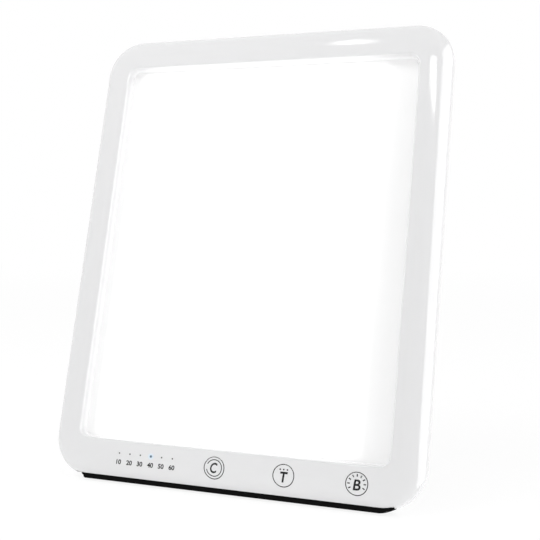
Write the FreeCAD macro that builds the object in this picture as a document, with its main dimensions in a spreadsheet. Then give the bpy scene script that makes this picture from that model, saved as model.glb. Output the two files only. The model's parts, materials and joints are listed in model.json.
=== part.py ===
import FreeCAD, Part
import math
import os
import Sketcher
from FreeCAD import Rotation, Vector

# Light therapy lamp: a tablet-shaped light panel that leans back on a fold-out leg.
#
# Each piece is modelled on an upright lamp: X runs to the right as seen from the front,
# Z up the face, and Y from the front plane (Y = 0) back through the case.
# The last step leans the lamp back and stands it on the floor with its origin at the
# middle of its footprint.

DRIVING_SIZES = (
    ("lean_angle", 16.7, "lean of the face from upright, degrees"),
    ("case_width", 190.0, "outer width of the case"),
    ("case_height", 234.0, "outer height of the case"),
    ("case_corner", 19.5, "outer corner radius"),
    ("seam_depth", 10.0, "front plane to the seam between the two shells"),
    ("rim_thickness", 4.0, "rear cover's rim, from the seam back"),
    ("rim_radius", 3.2, "round on the rear edge of the rim"),
    ("wall", 2.2, "side walls of both shells"),
    ("skin", 2.4, "front skin of the bezel"),
    ("crown_width", 11.0, "how far the domed edge reaches in from the side"),
    ("crown_radius", 14.0, "large radius of the domed edge"),
    ("edge_radius", 3.5, "small radius where the dome meets the side"),
    ("channel_inset", 7.0, "side of the case to the hollow right behind the front skin"),
    ("bezel_side", 15.5, "side of the case to the window, at the front plane"),
    ("bezel_top", 17.2, "top of the case to the window"),
    ("bezel_bottom", 18.8, "bottom of the case to the window"),
    ("window_corner", 5.0, "window corner radius"),
    ("window_depth", 5.0, "front plane to the panel's seat"),
    ("window_draft", 9.0, "draft of the window walls, degrees"),
    ("window_wall", 1.8, "thickness of the wall round the window"),
    ("lip_radius", 1.2, "round on the window's front edge"),
    ("back_inset", 14.0, "edge of the case to the foot of the raised back"),
    ("hump_corner", 16.0, "raised back, corner radius at its foot"),
    ("hump_rise", 8.0, "how far the raised back stands off the rim"),
    ("hump_slope", 6.0, "how far its sides lean in"),
    ("hump_round", 2.5, "round along its rear edge"),
    ("cover_skin", 2.0, "rear cover's skin"),
    ("fit", 0.3, "clearance between parts that move past each other"),
    ("seat_gap", 0.1, "clearance between parts that are seated"),
    ("strip_inset", 14.0, "side of the case to the end of the rubber strip"),
    ("strip_front", 4.2, "front plane to the strip's front face"),
    ("strip_thickness", 5.4, "strip, front to back"),
    ("strip_proud", 1.5, "how far the strip stands below the case"),
    ("strip_sunk", 1.0, "depth of the strip's groove"),
    ("strip_facet", 2.4, "flat under the strip that lies on the table"),
    ("panel_lap", 4.0, "how far the panel laps behind the window's edge"),
    ("gasket_thickness", 0.4, "foam between bezel and diffuser"),
    ("diffuser_thickness", 2.0, "opal diffuser"),
    ("guide_thickness", 3.0, "light guide plate"),
    ("reflector_thickness", 0.3, "white reflector sheet"),
    ("tray_thickness", 1.0, "aluminium tray"),
    ("strip_board", 1.0, "thickness of the LED strip's board"),
    ("led_size", 3.0, "LED, along the strip"),
    ("led_depth", 1.4, "LED, off the board"),
    ("led_pitch", 8.6, "spacing of the LEDs"),
    ("board_height", 70.0, "main board"),
    ("board_inset", 9.0, "side of the raised back to the main board"),
    ("board_margin", 1.2, "wall of the leg's recess to the main board"),
    ("board_rise", 19.0, "bottom of the raised back to the main board"),
    ("board_thickness", 1.6, "main board"),
    ("board_gap", 1.2, "tray to main board"),
    ("board_grid", 4.0, "spacing of the main board's components, and edge to screws"),
    ("spacer_radius", 2.5, "hexagonal spacers under the main board, to their corners"),
    ("small_head", 1.8, "hexagonal heads of the boards' screws, to their corners"),
    ("small_head_height", 0.9, "head of the boards' screws"),
    ("coil_width", 10.0, "power inductor"),
    ("coil_height", 4.0, "power inductor, off the board"),
    ("can_radius", 2.5, "capacitors"),
    ("can_height", 4.6, "capacitors, off the board"),
    ("driver_width", 6.0, "LED driver chip"),
    ("timer_chip_width", 9.0, "timer chip"),
    ("chip_length", 5.0, "both chips, up the board"),
    ("chip_height", 1.5, "both chips, off the board"),
    ("plug_width", 7.0, "board connectors"),
    ("plug_length", 5.0, "board connectors, along their leads"),
    ("plug_height", 3.0, "board connectors, off the board"),
    ("ribbon_width", 6.0, "flat cable"),
    ("ribbon_thickness", 0.3, "flat cable"),
    ("lead_width", 1.6, "flat two-core lead of an LED strip"),
    ("lead_thickness", 0.8, "flat two-core lead of an LED strip"),
    ("lead_drop", 3.0, "vent slots down to the leads"),
    ("lead_bend", 4.5, "edge of the tray to the lead's last bend"),
    ("lead_slant", 5.0, "how far aside a lead slants down into its notch"),
    ("lead_notch", 8.0, "notch in the tray's edge for a lead"),
    ("ribbon_notch", 4.0, "notch in the tray's lower edge for the flat cable"),
    ("touch_margin", 8.6, "touch board beyond the first timer lamp and the last key"),
    ("touch_height", 9.8, "touch board"),
    ("touch_bottom", 4.2, "touch board's lower edge"),
    ("touch_thickness", 1.2, "touch board"),
    ("touch_depth", 6.2, "front plane to the touch board"),
    ("key_inset", 29.7, "side of the case to the last touch key"),
    ("key_count", 3, "touch keys"),
    ("key_height", 10.3, "height of the touch keys"),
    ("key_pad", 6.0, "square foam pad behind a touch key"),
    ("timer_inset", 39.6, "side of the case to the first timer lamp"),
    ("timer_gap", 22.2, "last timer lamp to the first touch key"),
    ("timer_pitch", 5.78, "spacing of the timer lamps"),
    ("timer_count", 6, "timer lamps"),
    ("timer_height", 12.4, "height of the timer lamps"),
    ("timer_radius", 0.35, "light pipe at the face"),
    ("pipe_height", 1.6, "light pipe's bar"),
    ("pipe_depth", 2.8, "light pipe's bar, front to back"),
    ("timer_led", 1.0, "LED behind a timer lamp"),
    ("post_radius", 2.0, "posts that carry the touch board"),
    ("post_gap", 8.0, "last touch key to the post beside it"),
    ("boss_radius", 3.0, "screw bosses in the bezel"),
    ("boss_inset", 11.0, "side of the case to the bosses"),
    ("boss_low", 11.0, "height of the lower bosses"),
    ("boss_top", 9.5, "top of the case to the upper bosses"),
    ("screw_radius", 1.2, "case screw"),
    ("screw_head", 2.4, "case screw's head radius"),
    ("head_height", 1.2, "case screw's head"),
    ("screw_length", 8.0, "case screw under its head"),
    ("hinge_height", 130.0, "height of the leg's hinge"),
    ("hinge_back", 3.6, "rear face to the hinge axis"),
    ("pin_radius", 1.5, "hinge pin"),
    ("pin_running_gap", 0.06, "running clearance on the hinge pin"),
    ("leg_thickness", 6.2, "leg"),
    ("leg_width", 44.0, "leg"),
    ("leg_slant", 14.38, "slant of the open leg from upright, degrees"),
    ("leg_skin", 2.0, "leg's skin behind its pockets"),
    ("leg_rib", 4.0, "ribs between the leg's pockets"),
    ("leg_pocket_count", 3, "pockets in the leg"),
    ("leg_heel", 6.0, "stop heel above the hinge axis"),
    ("foot_height", 6.0, "rubber foot on the leg"),
    ("foot_corner", 3.0, "round at the foot's two lower corners"),
    ("washer_thickness", 0.5, "friction washer"),
    ("tub_floor", 2.0, "floor under the leg's recess"),
    ("jack_width", 8.0, "power socket"),
    ("jack_depth", 5.2, "power socket, front to back"),
    ("jack_length", 11.0, "power socket"),
    ("jack_bore", 1.9, "power socket's bore radius"),
    ("jack_pin", 0.65, "radius of the power socket's pin"),
    ("niche_width", 13.0, "niche round the power socket"),
    ("niche_height", 12.0, "niche above the foot of the raised back"),
    ("slot_count", 4, "vent slots, one above the other"),
    ("slot_pitch", 6.0, "spacing of the vent slots"),
    ("slot_side", 53.0, "side of the case to the ends of the vent slots"),
    ("slot_height", 2.4, "vent slot"),
    ("slot_inset", 37.6, "top of the case to the vent slots"),
    ("slot_corner", 1.1, "vent slot's corner radius"),
    ("rib_thickness", 1.6, "ribs of the rear cover that hold the tray down"),
    ("rib_pitch", 18.0, "spacing of the ribs, and side of the raised back to the first"),
    ("rib_margin", 26.0, "foot of the raised back to the ribs"),
)

ASIDE = Vector(1, 0, 0)
BACK = Vector(0, 1, 0)
UP = Vector(0, 0, 1)


class Size:
    """A number together with the sheet expression that it comes from."""

    def __init__(self, value, text):
        self.value = value
        self.text = text

    def __add__(self, other):
        other = size_of(other)
        return Size(self.value + other.value, f"({self.text} + {other.text})")

    def __sub__(self, other):
        other = size_of(other)
        return Size(self.value - other.value, f"({self.text} - {other.text})")

    def __mul__(self, other):
        other = size_of(other)
        return Size(self.value * other.value, f"({self.text} * {other.text})")

    def __truediv__(self, other):
        other = size_of(other)
        return Size(self.value / other.value, f"({self.text} / {other.text})")

    def __radd__(self, other):
        return size_of(other) + self

    def __rsub__(self, other):
        return size_of(other) - self

    def __rmul__(self, other):
        return size_of(other) * self

    def __neg__(self):
        return self * -1


def size_of(item):
    """A plain number as a Size, so that both can stand in one sum."""
    if isinstance(item, Size):
        return item
    return Size(float(item), f"({item:.6g})")


def cosine(angle):
    return Size(math.cos(math.radians(angle.value)), f"cos({angle.text} * 1 deg)")


def sine(angle):
    return Size(math.sin(math.radians(angle.value)), f"sin({angle.text} * 1 deg)")


def tangent(angle):
    return sine(angle) / cosine(angle)


def root(number):
    return Size(math.sqrt(number.value), f"sqrt({number.text})")


def fill_sheet(document, rows):
    """The driving dimensions: name, number and meaning, one row each."""
    sheet = document.addObject("Spreadsheet::Sheet", "Sizes")
    for row, (alias, number, meaning) in enumerate(rows, start=1):
        sheet.set(f"A{row}", alias)
        sheet.set(f"B{row}", str(number))
        sheet.set(f"C{row}", meaning)
        sheet.setAlias(f"B{row}", alias)
    document.recompute()
    return sheet


doc = FreeCAD.newDocument("LightTherapyLamp")
fill_sheet(doc, DRIVING_SIZES)
size = {alias: Size(float(number), f"Sizes.{alias}") for alias, number, _ in DRIVING_SIZES}

# Depths through the case, front to back
half_width = size["case_width"] / 2
case_depth = size["seam_depth"] + size["rim_thickness"]
back_depth = case_depth + size["hump_rise"]
gasket_front = size["window_depth"]
diffuser_front = gasket_front + size["gasket_thickness"]
guide_front = diffuser_front + size["diffuser_thickness"]
reflector_front = guide_front + size["guide_thickness"]
tray_front = reflector_front + size["reflector_thickness"]
tray_back = tray_front + size["tray_thickness"]
board_front = tray_back + size["board_gap"]
board_back = board_front + size["board_thickness"]
touch_back = size["touch_depth"] + size["touch_thickness"]
hinge_depth = back_depth - size["hinge_back"]

# The raised back and the window keep their distance from the edge of the case
hump_width = size["case_width"] - 2 * size["back_inset"]
hump_height = size["case_height"] - 2 * size["back_inset"]
hump_bottom = size["back_inset"]
window_width = size["case_width"] - 2 * size["bezel_side"]
window_height = size["case_height"] - size["bezel_bottom"] - size["bezel_top"]
slot_span = size["slot_pitch"] * (size["slot_count"] - 1) + size["slot_height"]
slot_bottom = size["case_height"] - size["slot_inset"] - slot_span

# The panel stack behind the window
panel_width = window_width + 2 * size["panel_lap"]
panel_height = window_height + 2 * size["panel_lap"]
panel_bottom = size["bezel_bottom"] - size["panel_lap"]
led_trim = size["led_depth"] + size["strip_board"] + size["fit"]
led_count = int((panel_height / size["led_pitch"]).value)

# The leg and its recess
leg_half = size["leg_thickness"] / 2
recess_width = size["leg_width"] + 2 * (size["washer_thickness"] + size["seat_gap"])
recess_floor = hinge_depth - leg_half - size["fit"]
recess_top = size["hinge_height"] + size["leg_heel"] + 2 * size["washer_thickness"]
tub_front = recess_floor - size["tub_floor"]
tub_width = recess_width + 2 * size["wall"]

# The main board lies between the recess and the side of the raised back; what sits on it
# is stacked upwards, a step apart
board_step = size["board_grid"]
board_left = tub_width / 2 + size["board_margin"]
board_right = hump_width / 2 - size["board_inset"]
board_bottom = hump_bottom + size["board_rise"]
board_top = board_bottom + size["board_height"]
plug_level = board_bottom + 2 * board_step
driver_level = plug_level + size["plug_length"] + board_step
timer_chip_level = driver_level + size["chip_length"] + board_step
coil_level = timer_chip_level + size["chip_length"] + board_step
lead_socket_level = coil_level + size["coil_width"] + board_step
lead_socket_left = board_right - board_step / 4 - size["plug_width"]
plug_middle = board_back + size["plug_height"] / 2
lead_level = slot_bottom - size["lead_drop"]
ribbon_left = board_left + (size["plug_width"] - size["ribbon_width"]) / 2
ribbon_right = ribbon_left + size["ribbon_width"]
jack_middle = (ribbon_right + hump_width / 2 - size["hump_corner"]) / 2

# The touch keys and the timer lamps
key_last = half_width - size["key_inset"]
timer_first = size["timer_inset"] - half_width
timer_last = timer_first + size["timer_pitch"] * (size["timer_count"] - 1)
key_first = timer_last + size["timer_gap"]
key_pitch = (key_last - key_first) / (size["key_count"] - 1)
touch_left = timer_first - size["touch_margin"]
touch_width = key_last + size["touch_margin"] - touch_left
touch_middle = size["touch_bottom"] + size["touch_height"] / 2

# The flat under the rubber strip lies on the table when the lamp leans back, and the leg
# is as long as it takes for its foot to lie there too.
facet_rise = size["strip_facet"] * tangent(size["lean_angle"])
facet_back = size["strip_front"] + size["strip_thickness"]
facet_level = facet_rise - size["strip_proud"]
table_drop = facet_back * sine(size["lean_angle"]) - facet_level * cosine(size["lean_angle"])
hinge_level = (
    size["hinge_height"] * cosine(size["lean_angle"])
    - hinge_depth * sine(size["lean_angle"])
    + table_drop
)
leg_slant = size["leg_slant"]
leg_reach = (hinge_level + leg_half * sine(leg_slant)) / cosine(leg_slant)
leg_opening = leg_slant + size["lean_angle"]


def bind(item, name, amount):
    """Ties a property to the sheet."""
    item.setExpression(name, size_of(amount).text)


# Sketches


def origin_plane(body, role):
    return next(item for item in body.Origin.OriginFeatures if item.Role == role)


def new_sketch(body, name, role, offset=0):
    """A sketch on one of the body's own planes, moved along the plane's normal."""
    sketch = body.newObject("Sketcher::SketchObject", name)
    sketch.AttachmentSupport = [(origin_plane(body, role), "")]
    sketch.MapMode = "FlatFace"
    bind(sketch, "AttachmentOffset.Base.z", offset)
    return sketch


def face_sketch(body, name, depth):
    """A sketch parallel to the lamp's face: sketch x is X, sketch y is Z."""
    return new_sketch(body, name, "XZ_Plane", -size_of(depth))


def side_sketch(body, name, offset=0):
    """A sketch seen from the side: sketch x is Y, sketch y is Z."""
    return new_sketch(body, name, "YZ_Plane", offset)


def datum(sketch, name, kind, *items):
    """Adds a dimension whose last item is its Size and ties it to the sheet."""
    amount = size_of(items[-1])
    index = sketch.addConstraint(Sketcher.Constraint(kind, *items[:-1], amount.value))
    sketch.renameConstraint(index, name)
    bind(sketch, f"Constraints.{name}", amount)


def line(start, end):
    return Part.LineSegment(Vector(*start, 0), Vector(*end, 0))


def add_polygon(sketch, name, points):
    """A closed outline of straight lines; each point is a pair of Sizes."""
    first = sketch.GeometryCount
    count = len(points)
    spots = [(size_of(x).value, size_of(y).value) for x, y in points]
    for index in range(count):
        sketch.addGeometry(line(spots[index], spots[(index + 1) % count]), False)
    for index in range(count):
        following = first + (index + 1) % count
        sketch.addConstraint(Sketcher.Constraint("Coincident", first + index, 2, following, 1))
    for index, (x, y) in enumerate(points):
        datum(sketch, f"{name}_x{index}", "DistanceX", -1, 1, first + index, 1, x)
        datum(sketch, f"{name}_y{index}", "DistanceY", -1, 1, first + index, 1, y)


def add_rectangle(sketch, name, left, bottom, width, height):
    right = size_of(left) + width
    top = size_of(bottom) + height
    add_polygon(sketch, name, [(left, bottom), (right, bottom), (right, top), (left, top)])


def add_rounded_rectangle(sketch, name, width, height, bottom, radius):
    """Four lines and four tangent arcs, standing on a level and centred on the lamp."""
    first = sketch.GeometryCount
    round_ = size_of(radius).value
    right = size_of(width).value / 2
    left = -right
    low = size_of(bottom).value
    high = low + size_of(height).value
    sketch.addGeometry(line((left + round_, low), (right - round_, low)), False)
    sketch.addGeometry(line((right, low + round_), (right, high - round_)), False)
    sketch.addGeometry(line((right - round_, high), (left + round_, high)), False)
    sketch.addGeometry(line((left, high - round_), (left, low + round_)), False)
    centres = (
        (right - round_, low + round_),
        (right - round_, high - round_),
        (left + round_, high - round_),
        (left + round_, low + round_),
    )
    quarter = math.pi / 2
    for turn, (x, y) in enumerate(centres):
        circle = Part.Circle(Vector(x, y, 0), UP, round_)
        arc = Part.ArcOfCircle(circle, (turn - 1) * quarter, turn * quarter)
        sketch.addGeometry(arc, False)
    for side in range(4):
        arc = first + 4 + side
        following = first + (side + 1) % 4
        sketch.addConstraint(Sketcher.Constraint("Tangent", first + side, 2, arc, 1))
        sketch.addConstraint(Sketcher.Constraint("Tangent", arc, 2, following, 1))
    for side, kind in enumerate(("Horizontal", "Vertical", "Horizontal", "Vertical")):
        sketch.addConstraint(Sketcher.Constraint(kind, first + side))
    for other in (5, 6, 7):
        sketch.addConstraint(Sketcher.Constraint("Equal", first + 4, first + other))
    datum(sketch, f"{name}_radius", "Radius", first + 4, radius)
    datum(sketch, f"{name}_width", "DistanceX", first + 3, 1, first + 1, 1, width)
    datum(sketch, f"{name}_height", "DistanceY", first, 1, first + 2, 2, height)
    datum(sketch, f"{name}_bottom", "DistanceY", -1, 1, first, 1, bottom)
    datum(sketch, f"{name}_side", "DistanceX", -1, 1, first + 1, 1, size_of(width) / 2)


def add_edge_band(sketch, name, outward, inward, reach):
    """A strip along the case's lower edge whose ends follow the corners round."""
    corner = size["case_corner"]
    bend = size["case_width"] / 2 - corner
    beyond = reach - bend
    levels = (-outward, inward)
    rises = []
    for level in levels:
        radius = corner - level
        rises.append(corner - root(radius * radius - beyond * beyond))
    first = sketch.GeometryCount
    low, high = (level.value for level in levels)
    ends = [rise.value for rise in rises]
    flat = bend.value
    far = reach.value
    sketch.addGeometry(line((-flat, low), (flat, low)), False)
    sketch.addGeometry(corner_arc(flat, corner.value - low, beyond.value), False)
    sketch.addGeometry(line((far, ends[0]), (far, ends[1])), False)
    sketch.addGeometry(corner_arc(flat, corner.value - high, beyond.value), False)
    sketch.addGeometry(line((flat, high), (-flat, high)), False)
    sketch.addGeometry(corner_arc(-flat, corner.value - high, -beyond.value), False)
    sketch.addGeometry(line((-far, ends[1]), (-far, ends[0])), False)
    sketch.addGeometry(corner_arc(-flat, corner.value - low, -beyond.value), False)
    joins = ((0, 2, 1, 1), (1, 2, 2, 1), (2, 2, 3, 2), (3, 1, 4, 1))
    joins += ((4, 2, 5, 2), (5, 1, 6, 1), (6, 2, 7, 1), (7, 2, 0, 1))
    for one, one_end, other, other_end in joins:
        sketch.addConstraint(
            Sketcher.Constraint("Coincident", first + one, one_end, first + other, other_end)
        )
    for index, kind in ((0, "Horizontal"), (4, "Horizontal"), (2, "Vertical"), (6, "Vertical")):
        sketch.addConstraint(Sketcher.Constraint(kind, first + index))
    for index, side in ((1, 1), (3, 1), (5, -1), (7, -1)):
        datum(sketch, f"{name}_x{index}", "DistanceX", -1, 1, first + index, 3, bend * side)
        datum(sketch, f"{name}_y{index}", "DistanceY", -1, 1, first + index, 3, corner)
    datum(sketch, f"{name}_low", "DistanceY", -1, 1, first, 1, levels[0])
    datum(sketch, f"{name}_high", "DistanceY", -1, 1, first + 4, 1, levels[1])
    datum(sketch, f"{name}_left", "DistanceX", -1, 1, first, 1, -bend)
    datum(sketch, f"{name}_right", "DistanceX", -1, 1, first, 2, bend)
    datum(sketch, f"{name}_inner_right", "DistanceX", -1, 1, first + 4, 1, bend)
    datum(sketch, f"{name}_inner_left", "DistanceX", -1, 1, first + 4, 2, -bend)
    datum(sketch, f"{name}_far_right", "DistanceX", -1, 1, first + 2, 1, reach)
    datum(sketch, f"{name}_far_left", "DistanceX", -1, 1, first + 6, 1, -reach)


def corner_arc(x, radius, beyond):
    """An arc about a lower corner's centre, from below it to a distance beyond it."""
    circle = Part.Circle(Vector(x, size["case_corner"].value, 0), UP, radius)
    below = 1.5 * math.pi
    turn = math.asin(abs(beyond) / radius)
    if beyond > 0:
        return Part.ArcOfCircle(circle, below, below + turn)
    return Part.ArcOfCircle(circle, below - turn, below)


def add_circle(sketch, name, x, y, radius):
    spot = Vector(size_of(x).value, size_of(y).value, 0)
    index = sketch.addGeometry(Part.Circle(spot, UP, size_of(radius).value), False)
    datum(sketch, f"{name}_radius", "Radius", index, radius)
    datum(sketch, f"{name}_x", "DistanceX", -1, 1, index, 3, x)
    datum(sketch, f"{name}_y", "DistanceY", -1, 1, index, 3, y)


# Part design features. A face sketch's normal points to the front, so the two
# directions are named here once.


def add_pad(body, name, sketch, length, to_rear=True):
    feature = body.newObject("PartDesign::Pad", name)
    feature.Profile = sketch
    feature.Reversed = to_rear
    bind(feature, "Length", length)
    return feature


def add_pocket(body, name, sketch, length, to_rear=True):
    feature = body.newObject("PartDesign::Pocket", name)
    feature.Profile = sketch
    feature.Reversed = not to_rear
    bind(feature, "Length", length)
    return feature


def add_cross_pad(body, name, sketch, length):
    """A pad of a side sketch, as far to the left as to the right."""
    feature = add_pad(body, name, sketch, length, to_rear=False)
    feature.Midplane = True
    return feature


def add_cross_pocket(body, name, sketch, length):
    feature = add_pocket(body, name, sketch, length)
    feature.Midplane = True
    return feature


def add_loft(body, name, kind, first, second):
    feature = body.newObject(f"PartDesign::{kind}Loft", name)
    feature.Profile = first
    feature.Sections = [second]
    feature.Ruled = True
    return feature


def edges_where(shape, test):
    """Names of the edges whose every sampled point passes the test."""
    names = []
    for index, edge in enumerate(shape.Edges, start=1):
        points = edge.discretize(5)
        if all(test(point) for point in points):
            names.append(f"Edge{index}")
    return names


def add_fillet(body, name, base, radius, test):
    doc.recompute()
    feature = body.newObject("PartDesign::Fillet", name)
    feature.Base = (base, edges_where(base.Shape, test))
    bind(feature, "Radius", radius)
    return feature


def add_row(body, name, feature, sketch, pitch, count, along="H_Axis"):
    """Repeats a feature along one of its sketch's axes."""
    pattern = body.newObject("PartDesign::LinearPattern", name)
    pattern.Originals = [feature]
    pattern.Direction = (sketch, [along])
    pattern.Mode = "Spacing"
    bind(pattern, "Offset", pitch)
    bind(pattern, "Occurrences", count)
    body.Tip = pattern
    return pattern


def near(first, second, slack=0.01):
    return abs(first - second) < slack


# Part primitives


def new_box(name, left, front, bottom, width, depth, height):
    box = doc.addObject("Part::Box", name)
    bind(box, "Length", width)
    bind(box, "Width", depth)
    bind(box, "Height", height)
    move(box, left, front, bottom)
    return box


def new_rod(name, x, y, z, radius, length, along):
    """A cylinder that starts at a point and runs along an axis."""
    rod = doc.addObject("Part::Cylinder", name)
    bind(rod, "Radius", radius)
    bind(rod, "Height", length)
    rod.Placement.Rotation = Rotation(UP, along)
    move(rod, x, y, z)
    return rod


def new_hexagon(name, x, y, z, radius, length):
    """A six-sided bar that runs back from a point; its radius reaches its corners."""
    bar = doc.addObject("Part::Prism", name)
    bar.Polygon = 6
    bind(bar, "Circumradius", radius)
    bind(bar, "Height", length)
    bar.Placement.Rotation = Rotation(UP, BACK)
    move(bar, x, y, z)
    return bar


def move(item, x, y, z):
    bind(item, "Placement.Base.x", x)
    bind(item, "Placement.Base.y", y)
    bind(item, "Placement.Base.z", z)


def cut(name, base, tool):
    result = doc.addObject("Part::Cut", name)
    result.Base = base
    result.Tool = tool
    return result


def fuse(name, items):
    result = doc.addObject("Part::MultiFuse", name)
    result.Shapes = items
    return result


def group(name, items):
    """One sub-part made of separate solids."""
    result = doc.addObject("Part::Compound", name)
    result.Links = items
    return result


def new_tube(name, x, y, z, outer, inner, length, along):
    return cut(
        name,
        new_rod(f"{name}_outside", x, y, z, outer, length, along),
        new_rod(f"{name}_bore", x, y, z, inner, length, along),
    )


def new_frame(name, depth, thickness, width, height, bottom, border):
    """A flat rectangular frame parallel to the face."""
    outside = new_box(f"{name}_outside", -width / 2, depth, bottom, width, thickness, height)
    inside = new_box(
        f"{name}_inside",
        border - width / 2,
        depth,
        bottom + border,
        width - 2 * border,
        thickness,
        height - 2 * border,
    )
    return cut(name, outside, inside)


# The two shells

boss_side = half_width - size["boss_inset"]
boss_high = size["case_height"] - size["boss_top"]
BOSSES = [
    (side * boss_side, level) for level in (size["boss_low"], boss_high) for side in (-1, 1)
]
POSTS = [
    (timer_first - size["timer_pitch"], size["key_height"]),
    (key_first + key_pitch / 2, size["key_height"]),
    (key_last - size["post_gap"], size["key_height"]),
]
boss_end = case_depth - size["cover_skin"]
strip_band = (size["strip_proud"], size["strip_sunk"], half_width - size["strip_inset"])
head_seat = case_depth - size["head_height"]


def add_crown_profile(sketch):
    """What the domed edge leaves off: a large arc, a small arc and the corner outside."""
    width = size["crown_width"]
    large = size["crown_radius"]
    small = size["edge_radius"]
    reach = root((large - small) * (large - small) - (width - small) * (width - small))
    depth = large - reach
    spare = size["wall"]
    large_centre = Vector(large.value, width.value, 0)
    small_centre = Vector(depth.value, small.value, 0)
    meeting = large_centre + (small_centre - large_centre).normalize() * large.value
    turn = math.atan2(meeting.y - large_centre.y, meeting.x - large_centre.x) % (2 * math.pi)
    dome = Part.ArcOfCircle(Part.Circle(large_centre, UP, large.value), math.pi, turn)
    edge = Part.ArcOfCircle(Part.Circle(small_centre, UP, small.value), turn, 1.5 * math.pi)
    outside = (
        (depth.value, 0),
        (depth.value, -spare.value),
        (-spare.value, -spare.value),
        (-spare.value, width.value),
        (0, width.value),
    )
    sketch.addGeometry([dome, edge], False)
    for start, end in zip(outside, outside[1:]):
        sketch.addGeometry(line(start, end), False)
    joins = [("Tangent", 0, 2, 1, 1)]
    joins += [("Coincident", index, 2, index + 1, 1) for index in range(1, 5)]
    joins += [("Coincident", 5, 2, 0, 1), ("Vertical", 2), ("Horizontal", 3)]
    joins += [("Vertical", 4), ("Horizontal", 5)]
    joins += [("Horizontal", 0, 1, 0, 3), ("Vertical", 1, 2, 1, 3)]
    for join in joins:
        sketch.addConstraint(Sketcher.Constraint(*join))
    datum(sketch, "dome_radius", "Radius", 0, large)
    datum(sketch, "edge_radius", "Radius", 1, small)
    datum(sketch, "dome_centre_x", "DistanceX", -1, 1, 0, 3, large)
    datum(sketch, "dome_centre_y", "DistanceY", -1, 1, 0, 3, width)
    datum(sketch, "edge_centre_y", "DistanceY", -1, 1, 1, 3, small)
    datum(sketch, "spare_front", "DistanceX", 3, 2, -1, 1, spare)
    datum(sketch, "spare_below", "DistanceY", 2, 2, -1, 1, spare)


def front_bezel():
    body = doc.addObject("PartDesign::Body", "front_bezel")
    width = size["case_width"]
    height = size["case_height"]
    wall = size["wall"]
    doc.recompute()

    outline = face_sketch(body, "bezel_outline", 0)
    add_rounded_rectangle(outline, "case", width, height, 0, size["case_corner"])
    block = add_pad(body, "bezel_block", outline, size["seam_depth"])

    crown = side_sketch(body, "crown_profile")
    add_crown_profile(crown)
    dome = body.newObject("PartDesign::SubtractivePipe", "bezel_dome")
    dome.Profile = crown
    dome.Spine = (outline, [f"Edge{index}" for index in range(1, 9)])

    hollow_sketch = face_sketch(body, "hollow_outline", size["seam_depth"])
    inner = (width - 2 * wall, height - 2 * wall, wall, size["case_corner"] - wall)
    add_rounded_rectangle(hollow_sketch, "hollow", *inner)
    hollow_depth = size["seam_depth"] - size["window_depth"]
    add_pocket(body, "bezel_hollow", hollow_sketch, hollow_depth, to_rear=False)

    channel_sketch = face_sketch(body, "channel_outline", size["window_depth"])
    inset = size["channel_inset"]
    channel = (width - 2 * inset, height - 2 * inset, inset, size["case_corner"] - inset)
    add_rounded_rectangle(channel_sketch, "channel", *channel)
    round_window = (
        window_width + 2 * size["window_wall"],
        window_height + 2 * size["window_wall"],
        size["bezel_bottom"] - size["window_wall"],
        size["window_corner"] + size["window_wall"],
    )
    add_rounded_rectangle(channel_sketch, "window_wall", *round_window)
    channel_depth = size["window_depth"] - size["skin"]
    add_pocket(body, "bezel_channel", channel_sketch, channel_depth, to_rear=False)

    boss_front = size["skin"] - size["seat_gap"]
    boss_sketch = face_sketch(body, "boss_circles", boss_front)
    for number, (x, z) in enumerate(BOSSES):
        add_circle(boss_sketch, f"boss{number}", x, z, size["boss_radius"])
    add_pad(body, "screw_bosses", boss_sketch, boss_end - boss_front)

    bore_sketch = face_sketch(body, "boss_bores", boss_end)
    for number, (x, z) in enumerate(BOSSES):
        add_circle(bore_sketch, f"bore{number}", x, z, size["screw_radius"] + size["seat_gap"] / 2)
    bore_depth = boss_end - head_seat + size["screw_length"] + size["fit"]
    add_pocket(body, "screw_bores", bore_sketch, bore_depth, to_rear=False)

    post_sketch = face_sketch(body, "post_circles", boss_front)
    for number, (x, z) in enumerate(POSTS):
        add_circle(post_sketch, f"post{number}", x, z, size["post_radius"])
    post_length = size["touch_depth"] - boss_front
    add_pad(body, "touch_posts", post_sketch, post_length)

    pipe_sketch = face_sketch(body, "pipe_hole", 0)
    pipe_hole = size["timer_radius"] + size["seat_gap"] / 2
    add_circle(pipe_sketch, "pipe", timer_first, size["timer_height"], pipe_hole)
    hole = add_pocket(body, "light_pipe_hole", pipe_sketch, size["skin"])
    add_row(body, "light_pipe_holes", hole, pipe_sketch, size["timer_pitch"], size["timer_count"])

    groove_sketch = face_sketch(body, "strip_groove_outline", size["strip_front"])
    add_edge_band(groove_sketch, "groove", *strip_band)
    add_pocket(body, "strip_groove", groove_sketch, size["strip_thickness"])

    window_sketch = face_sketch(body, "window_outline", 0)
    window = (window_width, window_height, size["bezel_bottom"])
    add_rounded_rectangle(window_sketch, "window", *window, size["window_corner"])
    opening = add_pocket(body, "window", window_sketch, size["window_depth"] + size["fit"])
    bind(opening, "TaperAngle", -size["window_draft"])

    half_width_inside = window_width.value / 2 + size["seat_gap"].value
    half_height_inside = window_height.value / 2 + size["seat_gap"].value
    middle = size["bezel_bottom"].value + window_height.value / 2

    def on_window_edge(point):
        inside = abs(point.x) < half_width_inside and abs(point.z - middle) < half_height_inside
        return near(point.y, 0) and inside

    add_fillet(body, "window_lip", opening, size["lip_radius"], on_window_edge)
    return body


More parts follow.
